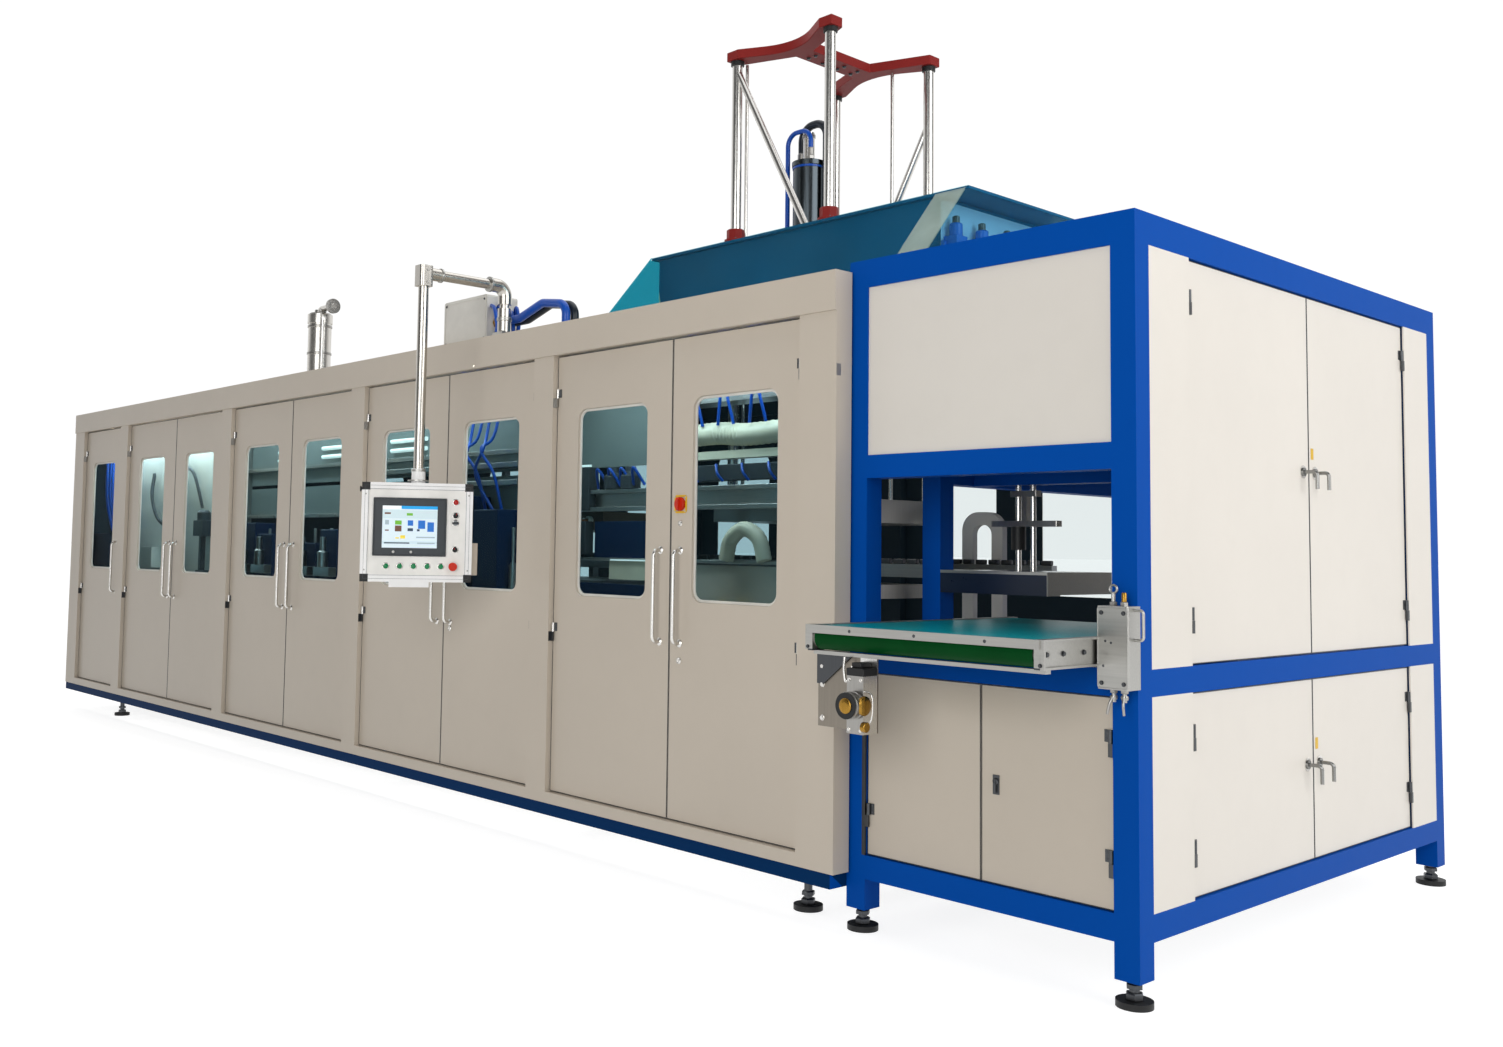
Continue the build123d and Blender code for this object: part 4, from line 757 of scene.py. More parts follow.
def foot_centres():
    """Centres of the levelling feet, found from the points of their discs on the floor."""
    centres = []
    for vert in NODES["levelling_feet"].data.vertices:
        place = NODES["levelling_feet"].matrix_world @ vert.co
        if abs(place.z) > 0.0005:
            continue
        for group in centres:
            if (group[0] - place).length < 0.2:
                group.append(place)
                break
        else:
            centres.append([place])
    boxes = [[[f(p[axis] for p in group) for f in (min, max)] for axis in (0, 1)] for group in centres]
    return [(sum(x) / 2, sum(y) / 2) for x, y in boxes]


def dress_feet():
    """Lock nuts on the feet's stems and a ribbed rim on their pads."""
    nuts = Piece("foot_nuts", "dark_steel", edges=0.0008)
    rims = Piece("foot_pads", "black_rubber")
    for x, y in foot_centres():
        nuts.turned((x, y, 0.024), Z, stud(0.03, 0.018, 0.026, 0.022), 6)
        nuts.turned((x, y, 0.058), Z, stud(0.028, 0.014, 0.024, 0.017), 6)
        rims.turned((x, y, 0.001), Z, [(0.0598, 0), (0.0598, 0.005), (0.057, 0.008), (0.057, 0.02)], 40)


# Control panel

def panel_point(across, up, out=0.0):
    """Place on the control panel's face."""
    return PANEL_CORNER + ACROSS * across + Z * up + OUTWARD * out


SCREEN_CORNER = (0.102, 0.1665)
SCREEN_SIZE = (0.266, 0.206)
SCREEN_FIELDS = {
    "field_header": ("#2AA3E6", [(0.34, 1.0, 0.925, 1.0)]),
    "field_tab": ("#F4FAFC", [(0.0, 0.34, 0.925, 1.0)]),
    "field_band": ("#C9DDE2", [(0.0, 1.0, 0.7, 0.9), (0.0, 1.0, 0.1, 0.16)]),
    "field_green": ("#6FB53B", [(0.23, 0.35, 0.55, 0.65), (0.44, 0.55, 0.77, 0.83)]),
    "field_brown": (
        "#6B4A3A",
        [(0.23, 0.35, 0.39, 0.53), (0.04, 0.15, 0.8, 0.84), (0.05, 0.12, 0.4, 0.43)],
    ),
    "field_blue": (
        "#2B6FC4",
        [(0.82, 0.94, 0.39, 0.62), (0.46, 0.56, 0.53, 0.66), (0.65, 0.78, 0.46, 0.66)],
    ),
    "field_dark": (
        "#33485A",
        [(0.46, 0.56, 0.4, 0.47), (0.63, 0.68, 0.4, 0.45), (0.04, 0.5, 0.1, 0.13)],
    ),
    "field_yellow": ("#E8D24A", [(0.33, 0.42, 0.22, 0.3), (0.24, 0.31, 0.22, 0.25)]),
    "field_grey": (
        "#9FB2BA",
        [(0.64, 0.96, 0.1, 0.13), (0.62, 0.96, 0.24, 0.27), (0.05, 0.12, 0.55, 0.66)],
    ),
}


def dress_screen():
    """Plain fields of colour on the lit screen, and its bevelled bezel."""
    for index, (name, (code, shares)) in enumerate(SCREEN_FIELDS.items()):
        MATERIALS[name] = material(name, glow(code, 0.35))
        fields = Piece(f"screen_{name}", name, "control_panel")
        for left, right, low, high in shares:
            across = [SCREEN_CORNER[0] + SCREEN_SIZE[0] * share for share in (left, right)]
            up = [SCREEN_CORNER[1] + SCREEN_SIZE[1] * share for share in (low, high)]
            fields.panel_slab(across, up, (0.0079, 0.0081 + 0.00003 * index))
    centre = panel_point(0.057 + 0.178, 0.126 + 0.1435, 0.005)
    bezel = Piece("screen_bezel", "dark_grey", "control_panel", 0.0022)
    bezel.ring(centre, ACROSS, Z, (0.355, 0.286), 0.008, 0.043, 0.0048)
    dots = Piece("bezel_keys", "aluminium_profile", "control_panel")
    for across in (0.158, 0.243):
        dots.turned(panel_point(across, 0.147, 0.0098), OUTWARD, [(0.007, 0), (0.006, 0.0012)], 20)


def dress_panel():
    """Button rims, selectors, dark lines painted as groove shadows, corner screws, side knob and bracket of the
    control panel.
    """
    rims = Piece("button_rims", "chrome_rod", "control_panel")
    places = [(PANEL_SIZE[0] * (0.23 + place * 0.123), 0.077) for place in range(5)]
    column = [(0.457, row) for row in BUTTON_ROWS]
    for across, up in places + column:
        rim = [(0.0175, 0), (0.0175, 0.003), (0.0145, 0.005), (0.0133, 0.005)]
        rims.turned(panel_point(across, up), OUTWARD, rim)
    lenses = Piece("button_lenses", "button_green", "control_panel")
    for across, up in places:
        lens = [(0.0115, 0), (0.0105, 0.0015), (0.006, 0.0028), (0.001, 0.0032)]
        lenses.turned(panel_point(across, up, 0.0099), OUTWARD, lens)
    selectors = Piece("selector_grips", "black_rubber", "control_panel", 0.001)
    marks = Piece("lamp_and_marks", "lamp_red", "control_panel")
    for (across, up), lean in ((column[1], 0.5), (column[3], -0.6)):
        along = ACROSS * math.sin(lean) + Z * math.cos(lean)
        side = OUTWARD.cross(along)
        grip = (side, along, OUTWARD)
        selectors.slab(panel_point(across, up), grip, ((-0.0045, 0.0045), (-0.013, 0.013), (0.0095, 0.02)))
        marks.slab(panel_point(across, up), grip, ((-0.0012, 0.0012), (0.002, 0.0125), (0.0195, 0.0206)))
    dome = [(0.0125, 0), (0.012, 0.003), (0.008, 0.006), (0.001, 0.0075)]
    marks.turned(panel_point(*column[0], 0.0099), OUTWARD, dome)
    slot_bar = Piece("slot_switch", "dark_grey", "control_panel", 0.002)
    slot_bar.panel_slab((0.441, 0.473), (column[2][1] - 0.006, column[2][1] + 0.006), (0.0085, 0.0115))
    # Thin dark rings standing on the frame's face: painted shade for the shadow lines of its grooves
    lines = Piece("painted_groove_shadows", "dark_steel", "control_panel")
    centre = panel_point(PANEL_SIZE[0] / 2, PANEL_SIZE[1] / 2, 0.008)
    lines.ring(centre, ACROSS, Z, (0.4765, 0.4235), 0.002, 0.0022, 0.0004)
    lines.ring(centre, ACROSS, Z, (0.51, 0.457), 0.002, 0.0012, 0.0003)
    screws = Piece("panel_screws_and_collars", "aluminium_profile", "control_panel")
    for across in (0.02, PANEL_SIZE[0] - 0.02):
        for up in (0.058, PANEL_SIZE[1] - 0.058):
            screws.turned(panel_point(across, up, 0.008), OUTWARD, [(0.004, 0), (0.003, 0.0012)], 14)
    screws.turned(PIVOT + Z * 0.0101, Z, stud(0.052, 0.006, 0.0345, 0.008), 32)
    screws.turned(PIVOT + Z * 0.058, Z, stud(0.0365, 0.01, 0.0345, 0.012), 32)
    knob = Piece("panel_side_knob", "black_rubber", "control_panel")
    grip = [(0.008, -0.002), (0.008, 0.004), (0.014, 0.005), (0.014, 0.01), (0.011, 0.012)]
    knob.turned(panel_point(0, 0.455, -0.045), -ACROSS, grip)
    bracket = Piece("panel_side_bracket", "cabinet_paint", "control_panel", 0.003)
    bracket.panel_slab((PANEL_SIZE[0] - 0.001, PANEL_SIZE[0] + 0.03), (0.035, 0.195), (-0.08, -0.05))


# Press tower and guard

def dress_tower():
    """Collars under the tie plate, bush screws, hose ends and bands of the drive cylinder."""
    rods = [Vector((PRESS_X + sx * 0.33, PRESS_Y + sy * 0.4, 0)) for sx in (-1, 1) for sy in (-1, 1)]
    collars = Piece("rod_collars", "black_rubber", "press_tower", 0.001)
    for rod in rods:
        foot = rod + Z * (LOW["tie_plate"].z - 0.026)
        collars.turned(foot, Z, [(0.0283, 0), (0.036, 0.002), (0.036, 0.026)])
    nuts = Piece("tie_plate_bolts", "dark_steel", "press_tower")
    for side in (-1, 1):
        for row in (-0.17, -0.06, 0.06, 0.17):
            nuts.bolt((PRESS_X + side * 0.025, PRESS_Y + row, LOW["tie_plate"].z), -Z, 0.01)
    screws = Piece("bush_screws", "dark_steel")
    for rod in rods:
        for step in range(4):
            angle = math.pi / 4 + step * math.pi / 2
            place = rod + Vector((math.cos(angle), math.sin(angle), 0)) * 0.0535
            screws.bolt(place + Z * (GUARD_TOP + 0.022), Z, 0.005)
    axis = middle("drive_cylinder")
    bands = Piece("cylinder_bands", "hose_blue")
    for height in (GUARD_TOP + 0.002, CYLINDER_CAP - 0.04):
        bands.turned((axis.x, axis.y, height), Z, collar(0.086, 0.0895, 0.012, 0.001), 40)
    fittings = Piece("cylinder_fittings", "bright_steel", edges=0.0008)
    hose_ends = [
        ((axis.x - 0.06, axis.y + 0.012, CYLINDER_CAP), 0.0222),
        ((axis.x + 0.058, axis.y - 0.05, CYLINDER_CAP), 0.0132),
        ((axis.x + 0.118, axis.y + 0.012, GUARD_TOP), 0.0222),
        ((axis.x - 0.11, axis.y - 0.05, GUARD_TOP), 0.0132),
    ]
    for place, radius in hose_ends:
        fittings.turned(place, Z, stud(radius + 0.008, 0.018, radius + 0.004, 0.02), 6)
        ferrule = [(radius + 0.004, 0.02), (radius + 0.004, 0.06), (radius + 0.0005, 0.064)]
        fittings.turned(place, Z, ferrule)
    top = Vector((axis.x, axis.y, HIGH["drive_cylinder"].z))
    fittings.turned(top - Z * 0.03, Z, collar(0.0325, 0.036, 0.02), 32)


def dress_guard():
    """Air valves and their pipes on the head's right wall, behind the clear end sheet."""
    wall_x = GUARD_WALL_X
    blocks = Piece("air_valves", "valve_blue", edges=0.003)
    caps = Piece("air_valve_caps", "dark_steel")
    pipes = Piece("air_valve_pipes", "hose_blue")
    base_z = ROOF_Z + 0.16
    for place in range(5):
        y = PRESS_Y - 0.4 + place * 0.2
        blocks.box((wall_x, y - 0.04, base_z), (wall_x + 0.075, y + 0.04, base_z + 0.17))
        blocks.turned((wall_x + 0.04, y, base_z + 0.17), Z, stud(0.03, 0.055, 0.024, 0.06), 20)
        caps.turned((wall_x + 0.04, y, base_z + 0.23), Z, stud(0.017, 0.03, 0.012, 0.034), 16)
        caps.turned((wall_x + 0.075, y, base_z + 0.085), X, stud(0.014, 0.014, 0.009, 0.016), 6)
        route = [
            (wall_x + 0.09, y, base_z + 0.085),
            (wall_x + 0.125, y, base_z + 0.07),
            (wall_x + 0.13, y + 0.02, base_z - 0.05),
            (wall_x + 0.115, y + 0.03, ROOF_Z + 0.004),
        ]
        pipes.tube(route, 0.009)
    blocks.box((wall_x, PRESS_Y - 0.46, base_z + 0.02), (wall_x + 0.02, PRESS_Y + 0.46, base_z + 0.15))


# Outfeed conveyor, gear motor and service box

def dress_conveyor():
    """Channel flanges, screws, bearings and belt guides of the conveyor's frame."""
    left, right = LOW["conveyor_belt"].x - 0.03, HIGH["conveyor_belt"].x + 0.03
    front, rear = LOW["conveyor_frame"].y + 0.006, FRONT_Y - 0.082
    low, high = 1.092, HIGH["conveyor_frame"].z
    axle = (front + 0.046, (LOW["front_roller"].z + HIGH["front_roller"].z) / 2)
    flanges = Piece("conveyor_channel", "aluminium_profile", edges=0.0012)
    for z in (low, high - 0.007):
        flanges.box((right - 0.001, front + 0.012, z), (right + 0.012, rear, z + 0.007))
    flanges.box((right - 0.001, front, low), (right + 0.013, front + 0.012, high))
    flanges.box((left - 0.012, front, low + 0.004), (left + 0.001, front + 0.075, high))
    screws = Piece("conveyor_screws", "dark_steel")
    for y in (front + 0.035, front + 0.13, front + 0.25):
        screws.bolt((right, y, (low + high) / 2), X, 0.008)
    for x in (left + 0.2, (left + right) / 2, right - 0.2):
        screws.turned((x, front - 0.006, high - 0.016), -Y, [(0.006, 0), (0.0045, 0.0018)], 14)
    for x in (left, right):
        screws.bolt((x, front, low + 0.014), -Y, 0.006)
    bearings = Piece("conveyor_bearings", "chrome_rod")
    for x, way in ((left + 0.022, X), (right - 0.022, -X)):
        rings = [(0.026, 0), (0.026, 0.003), (0.019, 0.005), (0.0135, 0.005)]
        bearings.turned((x, *axle), way, [(r, h * 0.9) for r, h in rings], 28)
    bearings.bolt((left - 0.028, *axle), -X, 0.01)
    edges = Piece("belt_side_guides", "aluminium_profile", edges=0.001)
    back = HIGH["conveyor_frame"].y - 0.1
    for x in (LOW["conveyor_belt"].x - 0.0075, HIGH["conveyor_belt"].x + 0.0015):
        edges.box((x, front + 0.1, high - 0.012), (x + 0.006, back, high - 0.0005))


def dress_motor():
    """Cap, gusset, wheels, screws, wire guard and cable of the gear motor."""
    low, high = LOW["gear_motor"], HIGH["gear_motor"]
    plate_left = MOTOR_LEFT
    body = Vector((MOTOR_X, MOTOR_FACE_Y + 0.037, low.z + 0.1))
    plate_y = MOTOR_FACE_Y + 0.074
    cap = Piece("motor_cap", "black_rubber", edges=0.003)
    cap.box((body.x - 0.039, body.y - 0.039, low.z + 0.2), (body.x + 0.039, plate_y, low.z + 0.226))
    cap.box((body.x - 0.03, body.y - 0.02, low.z + 0.226), (body.x + 0.012, plate_y, low.z + 0.244))
    gusset = Piece("motor_gusset", "dark_steel", edges=0.0008)
    outline = ((0, 0), (0.16, 0), (0.03, -0.105), (0, -0.105))
    corners = [(plate_left + x, plate_y - 0.002, high.z - 0.014 + z) for x, z in outline]
    gusset.plate(corners, 0.006)
    wheels = Piece("motor_wheels", "brass", edges=0.0008)
    hub = Vector((body.x, MOTOR_FACE_Y, body.z))
    rim = [(0.048, 0.004), (0.048, 0.012), (0.044, 0.016), (0.044, 0.03), (0.048, 0.034), (0.048, 0.042)]
    rims = Piece("motor_rim", "bright_steel", edges=0.0008)
    rims.turned(hub, -Y, rim, 36)
    wheels.turned(hub - Y * 0.05, -Y, [(0.027, 0), (0.027, 0.003), (0.022, 0.006), (0.01, 0.007)], 28)
    wheels.turned(hub + X * 0.037, X, [(0.034, 0), (0.034, 0.008), (0.028, 0.012), (0.012, 0.014)], 30)
    wheels.turned(hub + X * 0.037 - Z * 0.072, X, stud(0.018, 0.016, 0.014, 0.019), 24)
    bores = Piece("motor_bores", "black_rubber")
    bores.turned(hub - X * 0.041 - Y * 0.004, -X, stud(0.036, 0.006, 0.03, 0.009), 30)
    screws = Piece("motor_screws", "chrome_rod")
    for x in (body.x - 0.026, body.x + 0.026):
        for z in (low.z + 0.014, low.z + 0.186):
            screws.bolt((x, MOTOR_FACE_Y, z), -Y, 0.006)
    for z in (low.z + 0.03, low.z + 0.15, low.z + 0.215):
        screws.bolt((plate_left + 0.022, plate_y, z), -Y, 0.009)
    loop = Piece("motor_wire_guards", "chrome_rod")
    bow = ((0.036, 0.15), (0.066, 0.14), (0.072, 0.1), (0.064, 0.05), (0.036, 0.04))
    loop.tube([(body.x + x, low.y + 0.058, low.z + z) for x, z in bow], 0.003)
    cable = [
        (plate_left + 0.15, plate_y - 0.03, high.z - 0.014),
        (plate_left + 0.15, plate_y - 0.033, high.z - 0.06),
        (plate_left + 0.158, plate_y - 0.03, high.z - 0.1),
        (plate_left + 0.17, plate_y - 0.012, low.z + 0.226),
    ]
    loop.tube(cable, 0.005)


def dress_service_box():
    """Cover plate, corner screws, eye bolt, post and valve handles of the service box."""
    left, right = RIGHT_X - 0.098, RIGHT_X + 0.012
    front = LOW["service_box"].y
    low, high = 1.02, 1.288
    plate = Piece("service_box_cover", "aluminium_profile", edges=0.001)
    centre = Vector(((left + right) / 2, front, (low + high) / 2))
    plate.ring(centre, X, Z, (0.108, 0.264), 0.01, 0.004, 0.003)
    plate.box((left + 0.004, front - 0.0015, low + 0.004), (right - 0.004, front + 0.001, high - 0.004))
    screws = Piece("service_box_screws", "dark_steel")
    for x in (left + 0.016, right - 0.016):
        for z in (low + 0.02, high - 0.022):
            screws.bolt((x, front - 0.0015, z), -Y, 0.0065)
    for x, z in ((left + 0.03, low + 0.155), (left + 0.05, low + 0.15), (left + 0.022, low + 0.075)):
        screws.turned((x, front - 0.0015, z), -Y, [(0.0045, 0), (0.0035, 0.0015)], 12)
    fittings = Piece("service_box_fittings", "bright_steel")
    y = front + 0.04
    for x in (left + 0.036, right - 0.036):
        for z, way in ((high, Z), (low, -Z)):
            fittings.turned((x, y, z), way, stud(0.013, 0.012, 0.01, 0.014), 6)
    eye = [
        Vector((left + 0.036, y, high + 0.054)) + 0.013 * Vector((math.sin(a), 0, math.cos(a)))
        for a in (math.tau * step / 10 for step in range(11))
    ]
    fittings.tube(eye, 0.004, 4)
    for x, lean in ((left + 0.036, -0.016), (right - 0.036, 0.006)):
        fittings.turned((x, y, low - 0.02), -Z, [(0.011, 0), (0.013, 0.006), (0.011, 0.014)], 16)
        handle = [
            (x, y - 0.008, low - 0.026),
            (x + lean / 2, y - 0.016, low - 0.05),
            (x + lean, y - 0.016, low - 0.082),
        ]
        fittings.tube(handle, 0.0042)
    post = Piece("service_box_post", "brass")
    post.turned((right - 0.036, y, high + 0.014), Z, stud(0.0085, 0.026, 0.006, 0.03), 16)


# Roof fittings

def dress_roof():
    """Fittings of the filter, the cable box with its cables and glands, and the hanging arm's collars."""
    axis = Vector((LOW["roof_filter"].x + 0.084, middle("roof_filter").y, 0))
    cap = ROOF_Z + 0.395
    bands = Piece("filter_bands", "bright_steel", edges=0.0008)
    for height in (ROOF_Z + 0.004, ROOF_Z + 0.18, cap - 0.03):
        bands.turned(axis + Z * height, Z, collar(0.0782, 0.0822, 0.018), 40)
    bands.turned(axis + Z * (cap + 0.0615), Z, [(0.078, 0), (0.07, 0.01), (0.036, 0.014)], 40)
    pipe_end = Vector((HIGH["roof_filter"].x, axis.y, cap + 0.062 + 0.04))
    flange = [(0.024, -0.046), (0.024, -0.022), (0.05, -0.02), (0.05, -0.002), (0.03, -0.001)]
    bands.turned(pipe_end, X, flange, 32)
    for step in range(4):
        angle = math.pi / 4 + step * math.pi / 2
        spoke = Vector((0, math.cos(angle), math.sin(angle))) * 0.04
        bands.bolt(pipe_end + spoke - X * 0.02, -X, 0.006)
    bands.turned(axis + X * 0.022 + Z * (cap + 0.09), X, stud(0.025, 0.022, 0.021, 0.026), 8)
    drain = Piece("filter_side_pipe", "chrome_rod")
    side = axis + Vector((0.092, -0.03, 0))
    drain.tube([side + Z * ROOF_Z, side + Z * (ROOF_Z + 0.2), side + Z * (cap + 0.02)], 0.011)
    plug = stud(0.016, 0.022, 0.022, 0.024) + [(0.02, 0.04)]
    drain.turned(axis + Vector((-0.04, 0, cap + 0.062)), Z, plug, 20)
    low, high = LOW["cable_box"], HIGH["cable_box"]
    centre = Vector(((low.x + high.x) / 2, low.y, (low.z + high.z) / 2))
    lid = Piece("cable_box_lid", "white_plastic", edges=0.001)
    lid.ring(centre, X, Z, (0.405, 0.242), 0.02, 0.006, 0.003)
    screws = Piece("cable_box_screws", "dark_steel")
    for x in (low.x + 0.024, high.x - 0.024):
        for z in (low.z + 0.024, high.z - 0.024):
            screws.bolt((x, low.y, z), -Y, 0.006)
    glands = Piece("hose_glands", "brass", edges=0.0008)
    for place in (-0.5, 0.5):
        y = (low.y + high.y) / 2 + place * 0.056
        gland = [(0.034, 0), (0.034, 0.016), (0.029, 0.018), (0.029, 0.034), (0.0225, 0.04)]
        glands.turned((high.x, y, ROOF_Z + 0.11), X, gland, 8)
        glands.turned((high.x + 0.61, y, ROOF_Z), Z, gland, 8)
    bundle = Piece("box_cables", "hose_blue")
    for place in range(5):
        y = low.y + 0.03 + place * 0.035
        rise = 0.07 + 0.025 * (place % 3)
        route = [
            (high.x, y, ROOF_Z + 0.2 - 0.025 * place),
            (high.x + 0.06, y - 0.02, ROOF_Z + 0.1 + rise),
            (high.x + 0.1, y - 0.03, ROOF_Z + rise),
            (high.x + 0.05 + 0.02 * (place % 2), y - 0.01, ROOF_Z + 0.004),
        ]
        bundle.tube(route, 0.011)
    bolts = Piece("boom_base_bolts", "dark_steel")
    base = middle("boom_base")
    for sx in (-1, 1):
        for sy in (-1, 1):
            bolts.bolt((base.x + sx * 0.033, base.y + sy * 0.033, LOW["boom_base"].z + 0.014), Z, 0.006)
    sleeves = Piece("boom_collars", "aluminium_profile", "boom", 0.0006)
    top = HIGH["boom"].z - 0.036
    foot = (base.x, base.y, HIGH["boom_base"].z + 0.004)
    sleeves.turned(foot, Z, collar(0.0365, 0.0395, 0.02), 32)
    sleeves.turned((base.x, base.y - 0.09, top), -Y, collar(0.0365, 0.04, 0.016), 32)
    sleeves.turned((base.x, PIVOT.y + 0.09, top), Y, collar(0.0325, 0.0365, 0.014), 32)
    for height in (top - 0.05, top + 0.01):
        sleeves.bolt((base.x + 0.037, PIVOT.y, height), X, 0.006)


# Works seen through the windows

def dress_bays():
    """Cable tray, heater terminals and sheet chain behind the cabinet windows."""
    start, end = LOW["door_2"].x, HIGH["door_9"].x
    heat_low, heat_high = -2.05, 1.05
    face = PRESS_Y - 0.34
    tray = Piece("cable_tray", "bright_steel", edges=0.001)
    tray.box((start, face - 0.3, 2.205), (end, face - 0.14, 2.211))
    tray.box((start, face - 0.3, 2.211), (end, face - 0.296, 2.265))
    tray.box((start, face - 0.144, 2.211), (end, face - 0.14, 2.265))
    hangers = Piece("cable_tray_hangers", "dark_steel")
    for index in range(12):
        x = start + 0.25 + index * (end - start - 0.5) / 11
        hangers.box((x - 0.015, face - 0.3, 2.265), (x + 0.015, face - 0.295, ROOF_Z - 0.005))
        hangers.box((x - 0.015, face - 0.145, 2.265), (x + 0.015, face - 0.14, ROOF_Z - 0.005))
    cables = Piece("tray_cables", "hose_blue")
    for lane, height in ((-0.27, 2.222), (-0.235, 2.222), (-0.2, 2.222), (-0.168, 2.222), (-0.22, 2.245)):
        cables.rod((start, face + lane, height), (end, face + lane, height), 0.012)
    terminals = Piece("heater_terminals", "white_plastic")
    bars = Piece("heater_bus_bars", "copper", edges=0.001)
    boxes = Piece("heater_junction_boxes", "dark_grey", edges=0.004)
    count = 14
    for index in range(count):
        x = heat_low + 0.12 + index * (heat_high - heat_low - 0.24) / (count - 1)
        for z in (1.615, 1.205):
            terminals.turned((x, face, z), -Y, stud(0.03, 0.02, 0.018, 0.024) + [(0.018, 0.05)], 14)
        if index % 3 == 1:
            boxes.box((x - 0.06, face - 0.09, 1.67), (x + 0.06, face + 0.02, 1.79))
    for z in (1.615, 1.205):
        bars.box((heat_low + 0.08, face - 0.062, z - 0.01), (heat_high - 0.08, face - 0.05, z + 0.01))
    chain = Piece("sheet_chain", "dark_steel", edges=0.004)
    links = 110
    first, length = LOW["sheet_line"].x + 0.04, HIGH["sheet_line"].x - LOW["sheet_line"].x - 0.08
    for side in (-1, 1):
        y = PRESS_Y + side * 0.43
        for index in range(links):
            x = first + index * length / (links - 1)
            if not LOW["upper_platen"].x - 0.04 < x < HIGH["upper_platen"].x + 0.04:
                chain.box((x - 0.028, y - 0.013, 1.4), (x + 0.028, y + 0.013, 1.424))


def dress_press_bay():
    """Rails, ducts, valves and air lines in front of the press, seen through the last windows."""
    face = PRESS_Y - 0.71
    left, split, right = 1.2, 2.12, 2.95
    rails = Piece("press_rails", "aluminium_profile", edges=0.002)
    rails.box((left, face, 1.68), (right, face + 0.02, 1.75))
    for z in (1.655, 1.75):
        rails.box((left, face - 0.04, z), (right, face + 0.02, z + 0.022))
    rails.box((left, face - 0.02, 1.385), (right, face + 0.02, 1.402))
    for x in (left, split, right - 0.04):
        rails.box((x, face + 0.02, 0.219), (x + 0.04, face + 0.06, UNDER_ROOF))
    pale = Piece("press_ducts", "duct_cream")
    pale.box((split + 0.04, face - 0.02, 1.905), (right, face + 0.04, 1.945))
    pale.box((left + 0.38, face - 0.01, 1.285), (split - 0.06, face, 1.385))
    duct = ((split + 0.03, 2.03), (2.42, 2.035), (2.62, 2.02), (right, 2.03))
    pale.tube([(x, face, z) for x, z in duct], 0.052, 16, 20, 0.1)
    bend = ((2.52, 1.402), (2.55, 1.5), (2.64, 1.555), (2.74, 1.51), (2.78, 1.402))
    pale.tube([(x, face - 0.04, z) for x, z in bend], 0.036, 10, 18, 0.08)
    sill = Piece("press_bay_sill", "cabinet_paint", edges=0.001)
    sill.box((split + 0.04, face, 1.1), (right, face + 0.025, 1.375))
    caps = Piece("press_bay_caps", "yellow_plate")
    for x in (2.46, 2.58, 2.63):
        caps.turned((x, face - 0.02, 1.1), Z, stud(0.03, 0.09, 0.02, 0.1), 18)
    lower = Piece("press_bay_sheets", "panel_grey", edges=0.001)
    lower.box((left, face + 0.03, 1.9), (split - 0.02, face + 0.04, 2.36))
    dark = Piece("press_valve_blocks", "dark_grey", edges=0.003)
    dark.box((split + 0.04, face - 0.03, 1.795), (right, face + 0.03, 1.875))
    dark.box((left + 0.06, face - 0.05, 1.66), (left + 0.24, face + 0.02, 1.9))
    dark.box((left + 0.02, face - 0.04, 1.42), (left + 0.2, face + 0.02, 1.6))
    for x in (left + 0.42, left + 0.56):
        dark.turned((x, face - 0.02, 1.772), Z, stud(0.055, 0.07, 0.03, 0.09) + [(0.03, 0.12)], 24)
    blue = Piece("press_bay_drives", "inside_blue", edges=0.003)
    blue.box((left + 0.26, face - 0.02, 1.4), (split - 0.1, face + 0.02, 1.6))
    blue.box((left, face - 0.02, 1.12), (split - 0.1, face + 0.03, 1.26))
    lines = Piece("press_air_lines", "hose_blue")
    for place in range(7):
        x = split + 0.12 + place * 0.11
        sway = 0.04 * (-1) ** place
        drop = [(x, face - 0.03, UNDER_ROOF), (x + sway, face - 0.07, 2.3), (x, face - 0.05, 2.07)]
        lines.tube(drop, 0.008)
    for place in range(4):
        x = left + 0.3 + place * 0.1
        bow = [(x, face - 0.03, 1.78), (x + 0.05, face - 0.08, 1.88), (x + 0.09, face - 0.03, 1.79)]
        lines.tube(bow, 0.008)
        x = split + 0.14 + place * 0.18
        bow = [(x, face - 0.04, 1.875), (x + 0.03, face - 0.06, 1.83), (x + 0.05, face - 0.04, 1.79)]
        lines.tube(bow, 0.007)
    # Glowing strips on the valve block's top edge and along a rail: painted highlights
    strip = Piece("press_bay_painted_highlights", "tube_light")
    strip.box((left + 0.05, face - 0.052, 1.9), (left + 0.25, face - 0.04, 1.912))
    strip.box((left + 0.4, face - 0.022, 1.386), (split - 0.07, face - 0.012, 1.394))


